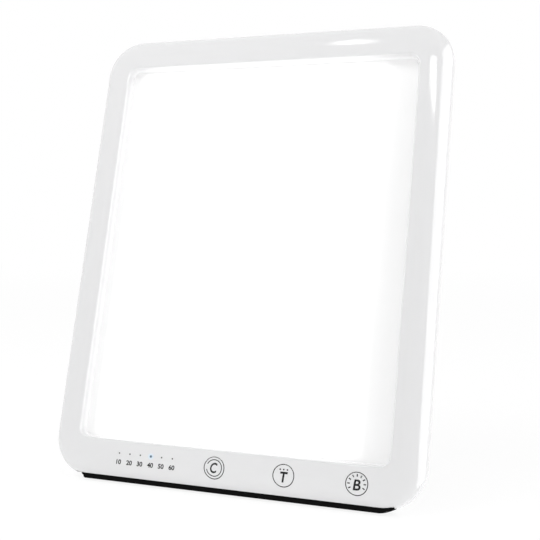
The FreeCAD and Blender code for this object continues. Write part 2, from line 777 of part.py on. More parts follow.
def add_hump(body, name, kind, depth, rise, inset):
    """A loft between two rounded rectangles that carries the raised back."""
    sketches = []
    for level, share in (("foot", 0), ("top", 1)):
        shrink = inset + size["hump_slope"] * share
        sketch = face_sketch(body, f"{name}_{level}", depth + rise * share)
        add_rounded_rectangle(
            sketch,
            level,
            hump_width - 2 * shrink,
            hump_height - 2 * shrink,
            hump_bottom + shrink,
            size["hump_corner"] - shrink,
        )
        sketches.append(sketch)
    return add_loft(body, name, kind, *sketches)


def rear_cover():
    body = doc.addObject("PartDesign::Body", "rear_cover")
    doc.recompute()
    wall = size["wall"]
    skin = size["cover_skin"]

    outline = face_sketch(body, "cover_outline", size["seam_depth"])
    case = (size["case_width"], size["case_height"], 0, size["case_corner"])
    add_rounded_rectangle(outline, "case", *case)
    rim = add_pad(body, "cover_rim", outline, size["rim_thickness"])

    def on_rear_edge(point):
        return near(point.y, case_depth.value)

    add_fillet(body, "rim_round", rim, size["rim_radius"], on_rear_edge)
    add_hump(body, "raised_back", "Additive", case_depth, size["hump_rise"], size_of(0))

    rim_sketch = face_sketch(body, "rim_hollow_outline", size["seam_depth"])
    inner = (case[0] - 2 * wall, case[1] - 2 * wall, wall, case[3] - wall)
    add_rounded_rectangle(rim_sketch, "hollow", *inner)
    add_pocket(body, "rim_hollow", rim_sketch, size["rim_thickness"] - skin)
    hollow_front = case_depth - skin
    add_hump(body, "back_hollow", "Subtractive", hollow_front, size["hump_rise"], skin)

    tub_sketch = face_sketch(body, "tub_outline", tub_front)
    tub_height = recess_top + wall - hump_bottom
    add_rectangle(tub_sketch, "tub", -tub_width / 2, hump_bottom, tub_width, tub_height)
    add_pad(body, "recess_tub", tub_sketch, back_depth - tub_front)

    niche_outer = size["niche_width"] + 2 * wall
    niche_sketch = face_sketch(body, "niche_block_outline", tub_front)
    add_rectangle(
        niche_sketch,
        "block",
        jack_middle - niche_outer / 2,
        hump_bottom,
        niche_outer,
        size["niche_height"] + wall,
    )
    add_pad(body, "niche_block", niche_sketch, back_depth - tub_front)

    slope_sketch = side_sketch(body, "below_slope")
    rise = size["hump_rise"]
    below_slope = (
        (case_depth, hump_bottom),
        (case_depth, hump_bottom - rise),
        (back_depth + rise, hump_bottom - rise),
        (back_depth + rise, hump_bottom + size["hump_slope"]),
        (back_depth, hump_bottom + size["hump_slope"]),
    )
    add_polygon(slope_sketch, "slope", below_slope)
    trim_width = 2 * jack_middle + niche_outer + wall
    trimmed = add_cross_pocket(body, "slope_trim", slope_sketch, trim_width)

    def on_hump_edge(point):
        return near(point.y, back_depth.value)

    add_fillet(body, "hump_edge", trimmed, size["hump_round"], on_hump_edge)

    rib_sketch = face_sketch(body, "rib_outlines", tray_back)
    rib_bottom = hump_bottom + size["rib_margin"]
    rib_top = slot_bottom - 2 * size["wall"]
    above_board = board_top + 2 * size["wall"]
    for number in (1, 2):
        reach = hump_width / 2 - size["rib_pitch"] * number
        rib = (size["rib_thickness"], rib_top - rib_bottom)
        add_rectangle(rib_sketch, f"left_rib{number}", -reach, rib_bottom, *rib)
        rib = (size["rib_thickness"], rib_top - above_board)
        right = reach - size["rib_thickness"]
        add_rectangle(rib_sketch, f"right_rib{number}", right, above_board, *rib)
    add_pad(body, "tray_ribs", rib_sketch, back_depth - tray_back - size["cover_skin"] / 2)

    recess_sketch = face_sketch(body, "recess_outline", back_depth)
    below = size["strip_proud"]
    add_rectangle(
        recess_sketch, "recess", -recess_width / 2, -below, recess_width, recess_top + below
    )
    recess_depth = back_depth - recess_floor
    add_pocket(body, "leg_recess", recess_sketch, recess_depth, to_rear=False)

    mouth_sketch = face_sketch(body, "niche_outline", back_depth)
    add_rectangle(
        mouth_sketch,
        "niche",
        jack_middle - size["niche_width"] / 2,
        hump_bottom - below,
        size["niche_width"],
        size["niche_height"] + below,
    )
    niche_depth = back_depth - case_depth
    add_pocket(body, "socket_niche", mouth_sketch, niche_depth, to_rear=False)

    jack_sketch = face_sketch(body, "socket_passage", board_back)
    add_rectangle(
        jack_sketch,
        "passage",
        jack_middle - size["jack_width"] / 2 - size["seat_gap"],
        hump_bottom + size["niche_height"] - size["seat_gap"],
        size["jack_width"] + 2 * size["seat_gap"],
        wall + 2 * size["seat_gap"],
    )
    add_pocket(body, "socket_opening", jack_sketch, size["jack_depth"] + size["seat_gap"])

    ear_sketch = side_sketch(body, "pin_hole")
    pin_hole = size["pin_radius"] + size["seat_gap"] / 2
    add_circle(ear_sketch, "pin", hinge_depth, size["hinge_height"], pin_hole)
    add_cross_pocket(body, "hinge_ears", ear_sketch, tub_width + 2 * size["seat_gap"])

    head_sketch = face_sketch(body, "screw_heads", case_depth)
    hole_sketch = face_sketch(body, "screw_shanks", case_depth)
    for number, (x, z) in enumerate(BOSSES):
        add_circle(head_sketch, f"head{number}", x, z, size["screw_head"] + size["seat_gap"])
        add_circle(hole_sketch, f"hole{number}", x, z, size["screw_radius"] + size["seat_gap"])
    add_pocket(body, "head_recesses", head_sketch, size["head_height"], to_rear=False)
    add_pocket(body, "screw_holes", hole_sketch, size["rim_thickness"], to_rear=False)

    vent_sketch = face_sketch(body, "vent_slot_outline", back_depth)
    slot_width = size["case_width"] - 2 * size["slot_side"]
    slot = (slot_width, size["slot_height"], slot_bottom, size["slot_corner"])
    add_rounded_rectangle(vent_sketch, "slot", *slot)
    vent = add_pocket(body, "vent_slot", vent_sketch, 2 * size["cover_skin"], to_rear=False)
    step = (size["slot_pitch"], size["slot_count"])
    add_row(body, "vent_slots", vent, vent_sketch, *step, along="V_Axis")
    return body


# The panel stack


def foam_gasket():
    frame = (panel_width, panel_height, panel_bottom, size["panel_lap"] - size["fit"])
    return new_frame("foam_gasket", gasket_front, size["gasket_thickness"], *frame)


def panel_sheet(name, front, thickness, trim):
    """A plain sheet of the panel stack, trimmed at its left and right."""
    width = panel_width - 2 * trim
    sheet = (-width / 2, front, panel_bottom, width, thickness, panel_height)
    return group(name, [new_box(f"{name}_sheet", *sheet)])


def backing_tray():
    """Aluminium tray: its sides turn up behind the LED strips, notched for the leads."""
    thickness = size["tray_thickness"]
    half = panel_width / 2
    depth = tray_back - guide_front
    side = (panel_bottom, thickness, depth, panel_height)
    sheets = [
        new_box(
            "tray_base", -half, tray_front, panel_bottom, panel_width, thickness, panel_height
        ),
        new_box("tray_left", -half - thickness, guide_front, *side),
        new_box("tray_right", half, guide_front, *side),
    ]
    reach = size["lead_notch"] + thickness
    level = lead_level - size["lead_notch"] / 2
    side_notch = (guide_front, level, reach, depth, size["lead_notch"])
    notches = [
        new_box("left_notch", -half - thickness, *side_notch),
        new_box("right_notch", half - size["lead_notch"], *side_notch),
        new_box(
            "ribbon_notch_box",
            ribbon_left - 2 * size["fit"],
            tray_front,
            panel_bottom,
            size["ribbon_width"] + 4 * size["fit"],
            thickness,
            size["ribbon_notch"],
        ),
    ]
    return cut("backing_tray", fuse("tray_sheet", sheets), fuse("tray_notches", notches))


def led_strip(side_name, side):
    """The board of an LED strip; it stands on edge beside the light guide."""
    inner = panel_width / 2 - size["strip_board"]
    left = inner if side > 0 else -panel_width / 2
    board = new_box(
        f"led_strip_{side_name}_board",
        left,
        guide_front,
        panel_bottom,
        size["strip_board"],
        size["guide_thickness"],
        panel_height,
    )
    return group(f"led_strip_{side_name}", [board])


def led_row(side_name, side):
    """The LEDs of one strip, facing the edge of the light guide."""
    inner = panel_width / 2 - size["strip_board"] - size["led_depth"]
    left = inner if side > 0 else -inner - size["led_depth"]
    start = panel_bottom + (panel_height - size["led_pitch"] * (led_count - 1)) / 2
    leds = []
    for number in range(led_count):
        bottom = start + size["led_pitch"] * number - size["led_size"] / 2
        leds.append(
            new_box(
                f"led_{side_name}_{number}",
                left,
                guide_front + size["seat_gap"],
                bottom,
                size["led_depth"],
                size["guide_thickness"] - 2 * size["seat_gap"],
                size["led_size"],
            )
        )
    return group(f"led_chips_{side_name}", leds)


# Electronics


def board_corners():
    left = board_left + board_step
    right = board_right - board_step
    low = board_bottom + board_step
    high = board_top - board_step
    return ((left, low), (right, low), (left, high), (right, high))


def small_screws(name, spots, seat):
    """The hexagonal heads of the screws that hold a board from behind."""
    head = (size["small_head"], size["small_head_height"])
    heads = [
        new_hexagon(f"{name}_head{number}", x, seat, z, *head)
        for number, (x, z) in enumerate(spots)
    ]
    return group(name, heads)


def main_board():
    place = (board_left, board_front, board_bottom)
    extent = (board_right - board_left, size["board_thickness"], size["board_height"])
    return group("main_board", [new_box("main_board_sheet", *place, *extent)])


def board_spacers():
    spacers = [
        new_hexagon(f"spacer{number}", x, tray_back, z, size["spacer_radius"], size["board_gap"])
        for number, (x, z) in enumerate(board_corners())
    ]
    return group("board_spacers", spacers)


def board_screws():
    return small_screws("board_screws", board_corners(), board_back)


def on_board(name, left, bottom, width, height, depth):
    """A box-shaped component on the rear side of the main board."""
    return new_box(name, left, board_back, bottom, width, depth, height)


def power_inductor():
    extent = (size["coil_width"], size["coil_width"], size["coil_height"])
    case = on_board("inductor_case", board_left + 2 * board_step, coil_level, *extent)
    return group("power_inductor", [case])


def capacitors():
    cans = []
    for number in range(2):
        x = board_right - 2 * board_step
        z = driver_level + size["can_radius"] + 2 * board_step * number
        can = (size["can_radius"], size["can_height"])
        cans.append(new_rod(f"capacitor{number}", x, board_back, z, *can, BACK))
    return group("capacitors", cans)


def control_chips():
    left = board_left + 2 * board_step
    package = (size["chip_length"], size["chip_height"])
    chips = [
        on_board("driver_chip", left, driver_level, size["driver_width"], *package),
        on_board("timer_chip", left, timer_chip_level, size["timer_chip_width"], *package),
    ]
    return group("control_chips", chips)


def board_connectors():
    """The flat cable's two sockets and the socket of the LED strips' leads."""
    plug = (size["plug_width"], size["plug_length"], size["plug_height"])
    touch_socket = new_box(
        "touch_socket",
        board_left,
        touch_back,
        touch_middle - size["plug_length"] / 2,
        size["plug_width"],
        size["plug_height"],
        size["plug_length"],
    )
    sockets = [
        touch_socket,
        on_board("ribbon_socket", board_left, plug_level, *plug),
        on_board("lead_socket", lead_socket_left, lead_socket_level, *plug),
    ]
    return group("board_connectors", sockets)


def board_ribbon():
    """Creased flat cable from the touch board, through the tray's notch, to the main board."""
    body = doc.addObject("PartDesign::Body", "board_ribbon")
    doc.recompute()
    start = touch_back + size["plug_height"] / 2
    in_notch = tray_front + size["tray_thickness"] / 2
    route = (
        (start, touch_middle + size["plug_length"] / 2),
        (in_notch, panel_bottom - 2 * size["fit"]),
        (in_notch, panel_bottom + size["ribbon_notch"] / 2),
        (plug_middle, board_bottom - size["plug_length"]),
        (plug_middle, plug_level),
    )
    half = size["ribbon_thickness"] / 2
    profile = side_sketch(body, "ribbon_profile", ribbon_left)
    outline = [(y - half, z) for y, z in route] + [(y + half, z) for y, z in reversed(route)]
    add_polygon(profile, "ribbon", outline)
    add_pad(body, "ribbon_strip", profile, size["ribbon_width"], to_rear=False)
    return body


def led_leads():
    """A flat two-core lead from the main board to each LED strip."""
    third = size["plug_width"] / 3
    left = led_lead("left", -1, lead_socket_left + third)
    right = led_lead("right", 1, lead_socket_left + 2 * third)
    return group("led_leads", [left, right])


def led_lead(side_name, side, x):
    """Up from its socket, aside between the ribs and the slots, and round the tray's edge."""
    half = size["lead_thickness"] / 2
    width = size["lead_width"]
    in_notch = tray_front + size["tray_thickness"] / 2
    mitre = side * size["lead_thickness"] / 5
    last_bend = side * (panel_width / 2 - size["lead_bend"])
    first_bend = last_bend - side * size["lead_slant"]
    inner_end = side * panel_width / 2
    outer_end = inner_end + side * size["lead_thickness"]
    tip = guide_front + size["guide_thickness"] / 2
    socket_top = lead_socket_level + size["plug_length"]
    body = doc.addObject("PartDesign::Body", f"led_lead_{side_name}")
    doc.recompute()
    across = new_sketch(body, f"lead_across_{side_name}", "XY_Plane", lead_level - width / 2)
    outline = (
        (x - side * width / 2, plug_middle + half),
        (first_bend + mitre, plug_middle + half),
        (last_bend + mitre, in_notch + half),
        (outer_end, in_notch + half),
        (outer_end, tip),
        (inner_end, tip),
        (inner_end, in_notch - half),
        (last_bend - mitre, in_notch - half),
        (first_bend - mitre, plug_middle - half),
        (x - side * width / 2, plug_middle - half),
    )
    add_polygon(across, "across", outline)
    add_pad(body, f"lead_run_{side_name}", across, width, to_rear=False)
    upright = face_sketch(body, f"lead_upright_{side_name}", plug_middle - half)
    rise = lead_level + width / 2 - socket_top
    add_rectangle(upright, "upright", x - width / 2, socket_top, width, rise)
    add_pad(body, f"lead_rise_{side_name}", upright, size["lead_thickness"])
    return body


def power_socket():
    """Low DC socket: a moulded case with a round bore that opens downwards."""
    left = jack_middle - size["jack_width"] / 2
    bottom = hump_bottom + size["niche_height"] + size["seat_gap"]
    middle = board_back + size["jack_depth"] / 2
    case = new_box(
        "socket_case",
        left,
        board_back,
        bottom,
        size["jack_width"],
        size["jack_depth"],
        size["jack_length"],
    )
    bore_length = size["jack_length"] - size["wall"]
    spot = (jack_middle, middle, bottom)
    bore = new_rod("socket_bore", *spot, size["jack_bore"], bore_length, UP)
    return cut("power_socket", case, bore)


def power_socket_pin():
    bottom = hump_bottom + size["niche_height"] + size["wall"]
    middle = board_back + size["jack_depth"] / 2
    length = size["jack_length"] - 2 * size["wall"] + size["seat_gap"]
    pin = new_rod("socket_pin_rod", jack_middle, middle, bottom, size["jack_pin"], length, UP)
    return group("power_socket_pin", [pin])


def touch_board():
    place = (touch_left, size["touch_depth"], size["touch_bottom"])
    extent = (touch_width, size["touch_thickness"], size["touch_height"])
    return group("touch_board", [new_box("touch_board_sheet", *place, *extent)])


def touch_board_screws():
    return small_screws("touch_board_screws", POSTS, touch_back)


def touch_pads():
    """Conductive foam pads that carry each key's field to the skin."""
    pads = []
    for number in range(int(size["key_count"].value)):
        x = key_first + key_pitch * number
        pad = size["key_pad"]
        place = (x - pad / 2, size["skin"], size["key_height"] - pad / 2)
        depth = size["touch_depth"] - size["skin"]
        pads.append(new_box(f"pad{number}", *place, pad, depth, pad))
    return group("touch_pads", pads)


def timer_spots():
    count = int(size["timer_count"].value)
    return [timer_first + size["timer_pitch"] * number for number in range(count)]


def timer_light_pipe():
    """One clear moulding: a bar behind the skin with a pin for each lamp."""
    pins = [
        new_rod(
            f"pipe_pin{number}",
            x,
            size["seat_gap"],
            size["timer_height"],
            size["timer_radius"],
            size["skin"] + size["seat_gap"],
            BACK,
        )
        for number, x in enumerate(timer_spots())
    ]
    overhang = size["pipe_height"] / 2
    bar = new_box(
        "pipe_bar",
        timer_first - overhang,
        size["skin"],
        size["timer_height"] - overhang,
        size["timer_pitch"] * (size["timer_count"] - 1) + 2 * overhang,
        size["pipe_depth"],
        size["pipe_height"],
    )
    return fuse("timer_light_pipe", [bar, *pins])


def timer_leds():
    front = size["skin"] + size["pipe_depth"]
    width = size["timer_led"]
    lamps = [
        new_box(
            f"timer_led{number}",
            x - width / 2,
            front,
            size["timer_height"] - width / 2,
            width,
            size["touch_depth"] - front,
            width,
        )
        for number, x in enumerate(timer_spots())
    ]
    return group("timer_leds", lamps)


# Fasteners, feet and the leg


def case_screws():
    screws = []
    for number, (x, z) in enumerate(BOSSES):
        radius = size["screw_radius"]
        start = head_seat - size["screw_length"]
        shank = new_rod(f"case_shank{number}", x, start, z, radius, size["screw_length"], BACK)
        height = size["head_height"] - size["seat_gap"]
        head = new_rod(f"case_head{number}", x, head_seat, z, size["screw_head"], height, BACK)
        screws.append(fuse(f"case_screw{number}", [shank, head]))
    return group("case_screws", screws)


def rubber_strip():
    """The anti-slip strip: its rear lower edge is cut flat to lie on the table."""
    body = doc.addObject("PartDesign::Body", "rubber_strip")
    doc.recompute()
    band = face_sketch(body, "strip_outline", size["strip_front"])
    add_edge_band(band, "strip", *strip_band)
    add_pad(body, "strip_bar", band, size["strip_thickness"])

    flat = side_sketch(body, "strip_flat_profile")
    below = -size["strip_proud"]
    facet_front = facet_back - size["strip_facet"]
    reach = size["strip_facet"] + size["strip_proud"]
    points = (
        (facet_front, below),
        (facet_front, below - reach),
        (facet_front + reach, below - reach),
        (facet_front + reach, below + reach * tangent(size["lean_angle"])),
    )
    add_polygon(flat, "flat", points)
    add_cross_pocket(body, "strip_flat", flat, size["case_width"])
    return body


def stand_leg():
    """The leg, modelled round its hinge axis as it lies folded."""
    body = doc.addObject("PartDesign::Body", "stand_leg")
    doc.recompute()
    half = leg_half
    end = size["foot_height"] - leg_reach
    slope = tangent(leg_opening)

    plate_sketch = side_sketch(body, "leg_profile")
    heel_front = size["leg_heel"] * slope - half / cosine(leg_opening)
    points = (
        (-half, end),
        (half, end),
        (half, size["leg_heel"]),
        (heel_front, size["leg_heel"]),
        (-half, half * tangent(leg_opening / 2)),
    )
    add_polygon(plate_sketch, "leg", points)
    plate = add_cross_pad(body, "leg_plate", plate_sketch, size["leg_width"])

    def on_long_rear_edge(point):
        return near(point.y, half.value) and near(abs(point.x), size["leg_width"].value / 2)

    add_fillet(body, "leg_edges", plate, size["leg_skin"] / 2, on_long_rear_edge)

    pocket_sketch = face_sketch(body, "leg_pocket_outline", -half)
    rib = size["leg_rib"]
    plain = 2 * size["leg_heel"]
    count = size["leg_pocket_count"]
    pocket_height = (leg_reach - size["foot_height"] - plain) / count - rib
    add_rounded_rectangle(
        pocket_sketch,
        "pocket",
        size["leg_width"] - 2 * rib,
        pocket_height,
        end + rib,
        size["leg_skin"],
    )
    pocket = add_pocket(body, "leg_pocket", pocket_sketch, size["leg_thickness"] - size["leg_skin"])
    add_row(
        body, "leg_pockets", pocket, pocket_sketch, pocket_height + rib, count, along="V_Axis"
    )

    bore_sketch = side_sketch(body, "leg_bore_circle")
    bore = size["pin_radius"] + size["pin_running_gap"]
    add_circle(bore_sketch, "bore", 0, 0, bore)
    add_cross_pocket(body, "leg_bore", bore_sketch, size["leg_width"] + size["wall"])
    return body


def leg_foot():
    """Rubber foot on the end of the leg, cut to lie flat on the table."""
    body = doc.addObject("PartDesign::Body", "leg_foot")
    doc.recompute()
    half = leg_half
    sketch = side_sketch(body, "foot_profile")
    end = size["foot_height"] - leg_reach
    front_end = -leg_reach + size["leg_thickness"] * tangent(leg_slant)
    points = ((-half, end), (-half, front_end), (half, -leg_reach), (half, end))
    add_polygon(sketch, "foot", points)
    bar = add_cross_pad(body, "foot_bar", sketch, size["leg_width"])

    def on_lower_corner(point):
        at_side = near(abs(point.x), size["leg_width"].value / 2)
        return at_side and point.z < front_end.value + size["seat_gap"].value

    add_fillet(body, "foot_corners", bar, size["foot_corner"], on_lower_corner)
    return body


def hinge_pin():
    half = tub_width / 2
    spot = (-half, hinge_depth, size["hinge_height"])
    return group("hinge_pin", [new_rod("pin_rod", *spot, size["pin_radius"], tub_width, ASIDE)])


def hinge_washers():
    washers = []
    bore = size["pin_radius"] + size["pin_running_gap"]
    outer = leg_half - size["fit"]
    gap = size["seat_gap"] / 2
    for name, start in (
        ("left", gap - recess_width / 2),
        ("right", recess_width / 2 - gap - size["washer_thickness"]),
    ):
        spot = (start, hinge_depth, size["hinge_height"])
        ring = (outer, bore, size["washer_thickness"], ASIDE)
        washers.append(new_tube(f"washer_{name}", *spot, *ring))
    return group("hinge_washers", washers)


# Placing: the whole lamp leans back about its lowest edge


def place_on_lamp(item, shift):
    """Leans a piece of the case back and stands the lamp on the table."""
    item.Placement.Rotation = Rotation(ASIDE, -size["lean_angle"].value)
    bind(item, "Placement.Rotation.Angle", -size["lean_angle"])
    bind(item, "Placement.Base.y", shift)
    bind(item, "Placement.Base.z", table_drop)


def place_on_hinge(item, shift):
    """Hangs a piece of the leg on the hinge, opened to its stop."""
    lean = size["lean_angle"]
    forward = hinge_depth * cosine(lean) + size["hinge_height"] * sine(lean)
    item.Placement.Rotation = Rotation(ASIDE, leg_slant.value)
    bind(item, "Placement.Rotation.Angle", leg_slant)
    bind(item, "Placement.Base.y", forward + shift)
    bind(item, "Placement.Base.z", hinge_level)


lamp_pieces = [
    front_bezel(),
    rear_cover(),
    foam_gasket(),
    panel_sheet("diffuser_panel", diffuser_front, size["diffuser_thickness"], size_of(0)),
    panel_sheet("light_guide", guide_front, size["guide_thickness"], led_trim),
    panel_sheet("reflector_sheet", reflector_front, size["reflector_thickness"], size_of(0)),
    backing_tray(),
    led_strip("left", -1),
    led_strip("right", 1),
    led_row("left", -1),
    led_row("right", 1),
    main_board(),
    board_spacers(),
    board_screws(),
    power_inductor(),
    capacitors(),
    control_chips(),
    board_connectors(),
    power_socket(),
    power_socket_pin(),
    board_ribbon(),
    led_leads(),
    touch_board(),
    touch_board_screws(),
    touch_pads(),
    timer_light_pipe(),
    timer_leds(),
    case_screws(),
    rubber_strip(),
    hinge_pin(),
    hinge_washers(),
]
leg_pieces = [stand_leg(), leg_foot()]
doc.recompute()

for piece in lamp_pieces:
    place_on_lamp(piece, 0)
for piece in leg_pieces:
    place_on_hinge(piece, 0)
doc.recompute()
whole = FreeCAD.BoundBox()
for piece in lamp_pieces + leg_pieces:
    whole.add(piece.Shape.optimalBoundingBox())
for piece in lamp_pieces:
    place_on_lamp(piece, -whole.Center.y)
for piece in leg_pieces:
    place_on_hinge(piece, -whole.Center.y)
doc.recompute()

for item in doc.Objects:
    if "Invalid" in item.State or "Error" in item.State:
        raise RuntimeError(f"{item.Label} did not build: {item.State}")

os.makedirs("parts", exist_ok=True)
for piece in lamp_pieces + leg_pieces:
    if piece.Shape.isNull() or not piece.Shape.isValid():
        raise RuntimeError(f"{piece.Label} has no sound shape")
    piece.Shape.exportStep(f"parts/{piece.Label}.step")
    print(f"{piece.Label}: {len(piece.Shape.Solids)} solids, {piece.Shape.Volume:.1f} mm3")

axis = leg_pieces[0].Placement.Base
print(f"hinge axis at y {axis.y:.3f}, z {axis.z:.3f}; opening {leg_opening.value:.3f} degrees")
print(f"slant {leg_slant.value:.3f}; shift {-whole.Center.y:.3f}; drop {table_drop.value:.3f}")
print(f"box {whole.XLength:.2f} x {whole.YLength:.2f} x {whole.ZLength:.2f}, floor {whole.ZMin:.3f}")
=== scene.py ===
import json
import math
from contextlib import contextmanager

import bmesh
import bpy
from bpy.props import FloatProperty, FloatVectorProperty, IntProperty, PointerProperty
from bpy.props import StringProperty
from bpy.types import Operator, Panel, PropertyGroup
from mathutils import Matrix, Vector


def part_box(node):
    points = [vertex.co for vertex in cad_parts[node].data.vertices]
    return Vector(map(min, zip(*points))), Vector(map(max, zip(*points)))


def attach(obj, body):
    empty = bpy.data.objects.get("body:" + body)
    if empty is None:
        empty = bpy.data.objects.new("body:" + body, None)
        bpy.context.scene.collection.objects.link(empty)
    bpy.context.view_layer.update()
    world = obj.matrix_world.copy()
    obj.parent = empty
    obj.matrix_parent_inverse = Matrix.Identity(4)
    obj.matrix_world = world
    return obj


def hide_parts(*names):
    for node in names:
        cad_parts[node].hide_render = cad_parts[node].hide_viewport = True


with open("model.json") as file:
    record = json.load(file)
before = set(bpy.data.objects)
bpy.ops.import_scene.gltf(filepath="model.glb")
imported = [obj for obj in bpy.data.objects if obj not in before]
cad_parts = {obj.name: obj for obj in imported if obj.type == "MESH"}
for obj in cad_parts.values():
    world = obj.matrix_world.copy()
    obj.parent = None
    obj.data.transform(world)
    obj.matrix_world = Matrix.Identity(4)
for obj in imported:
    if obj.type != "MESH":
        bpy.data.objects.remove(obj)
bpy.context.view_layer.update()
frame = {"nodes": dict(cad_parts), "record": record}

bl_info = {
    "name": "Light therapy lamp",
    "version": (1, 0, 0),
    "blender": (4, 5, 0),
    "location": "3D View > Sidebar > Therapy Lamp",
    "description": "Finishes a tablet-shaped light panel: case, glow, prints, rubber and stage",
    "category": "Object",
}

MM = 0.001
MICRON = 0.000001
LAMP = "lamp"
BLACK = (0.0, 0.0, 0.0)
WHITE = (1.0, 1.0, 1.0)

# Closer than these, two points are one, two places are the same, two faces are flat and
# an edge is smooth
WELD = 0.001 * MM
SAME_PLACE = 0.01 * MM
FLAT_ANGLE = math.radians(1)
SMOOTH_ANGLE = math.radians(35)


# The lamp's face: x across it, y up it, z out of it, all in metres


def face_frame():
    """Row-frame matrix of the bezel's front plane, from the middle of its lower edge."""
    inlet = next(item for item in frame["record"]["mounts"] if item["name"] == "power_inlet")
    lean = math.atan2(-inlet["axis"][1], -inlet["axis"][2])
    across = Vector((1, 0, 0))
    up = Vector((0, math.sin(lean), math.cos(lean)))
    out = across.cross(up)
    corners = [vertex.co for vertex in frame["nodes"]["front_bezel"].data.vertices]
    front = max(corner.dot(out) for corner in corners)
    foot = min(corner.dot(up) for corner in corners)
    turn = Matrix((across, up, out)).transposed().to_4x4()
    return Matrix.Translation(out * front + up * foot) @ turn


FACE = face_frame()


def face_points(item):
    """The corners of a mesh object, in the face's own directions."""
    to_face = FACE.inverted()
    return [to_face @ vertex.co for vertex in item.data.vertices]


def lay(item, x, y):
    """Puts a flat mark on the face."""
    item.matrix_world = FACE @ Matrix.Translation((x, y, 0.0))
    return item


def middle(values):
    return (min(values) + max(values)) / 2


def span(values):
    return max(values) - min(values)


def stations(values):
    """The different numbers in a list, to a hundredth of a millimetre, in order."""
    return sorted(set(round(value, 5) for value in values))


# Editing with operators


def deselect_all():
    if bpy.context.object and bpy.context.object.mode != "OBJECT":
        bpy.ops.object.mode_set(mode="OBJECT")
    bpy.ops.object.select_all(action="DESELECT")


def pick(*items):
    """Selects these objects alone and makes the first one active."""
    deselect_all()
    for item in items:
        item.select_set(True)
    bpy.context.view_layer.objects.active = items[0]


@contextmanager
def editing(item):
    """Edit mode on one object, with everything selected at first."""
    pick(item)
    bpy.ops.object.mode_set(mode="EDIT")
    bpy.ops.mesh.select_all(action="SELECT")
    yield
    bpy.ops.object.mode_set(mode="OBJECT")


def choose(item, kind, test):
    """In edit mode, selects the vertices or faces that pass a test."""
    bpy.ops.mesh.select_mode(type={"verts": "VERT", "faces": "FACE"}[kind])
    bpy.ops.mesh.select_all(action="DESELECT")
    mesh = bmesh.from_edit_mesh(item.data)
    for element in getattr(mesh, kind):
        element.select_set(bool(test(element)))
    mesh.select_flush_mode()
    bmesh.update_edit_mesh(item.data)


def apply_modifiers(item):
    pick(item)
    for modifier in list(item.modifiers):
        bpy.ops.object.modifier_apply(modifier=modifier.name)


def add_modifier(item, kind, **settings):
    modifier = item.modifiers.new(kind.lower(), kind)
    for name, value in settings.items():
        setattr(modifier, name, value)


def keep_place(item):
    """Puts the object's place into its mesh, so that its origin is the frame's."""
    item.data.transform(item.matrix_world)
    item.matrix_world = Matrix.Identity(4)


def settle(item, name, body, material):
    """Keeps the object's place, names it and lets it ride on its body."""
    keep_place(item)
    item.name = name
    item.data.name = name
    item.data.materials.clear()
    item.data.materials.append(material)
    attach(item, body)


def twin(item):
    """A new object with a copy of the mesh."""
    copy = bpy.data.objects.new(item.name + "_copy", item.data.copy())
    bpy.context.scene.collection.objects.link(copy)
    return copy


def join(items):
    pick(*items)
    bpy.ops.object.join()
    return bpy.context.object


# Shader nodes


def node_of(tree, kind):
    """The node of this kind that a new tree comes with."""
    return next(node for node in tree.nodes if node.type == kind)


def feed(tree, socket, value):
    """Links an output, a wire or a node's first output to a socket, or sets a plain value."""
    if isinstance(value, bpy.types.Node):
        value = value.outputs[0]
    elif isinstance(value, Wire):
        value = value.socket
    if isinstance(value, bpy.types.NodeSocket):
        tree.links.new(value, socket)
    elif isinstance(value, (tuple, list)) and len(socket.default_value) > len(value):
        socket.default_value = (*value, 1.0)
    else:
        socket.default_value = value


def add_node(tree, kind, inputs, **settings):
    """Adds a node: its settings first, then its inputs, by their numbers or names."""
    node = tree.nodes.new(kind)
    for name, value in settings.items():
        setattr(node, name, value)
    for key, value in inputs.items():
        feed(tree, node.inputs[key], value)
    return node


class Wire:
    """An output socket that can stand in a sum."""

    def __init__(self, finish, socket):
        self.finish = finish
        self.socket = socket

    def _math(self, operation, first, second):
        return self.finish.node("ShaderNodeMath", {0: first, 1: second}, operation=operation)

    def __add__(self, other):
        return self._math("ADD", self, other)

    def __sub__(self, other):
        return self._math("SUBTRACT", self, other)

    def __rsub__(self, other):
        return self._math("SUBTRACT", other, self)

    def __mul__(self, other):
        return self._math("MULTIPLY", self, other)

    def __truediv__(self, other):
        return self._math("DIVIDE", self, other)

    def __abs__(self):
        return self._math("ABSOLUTE", self, 0.0)


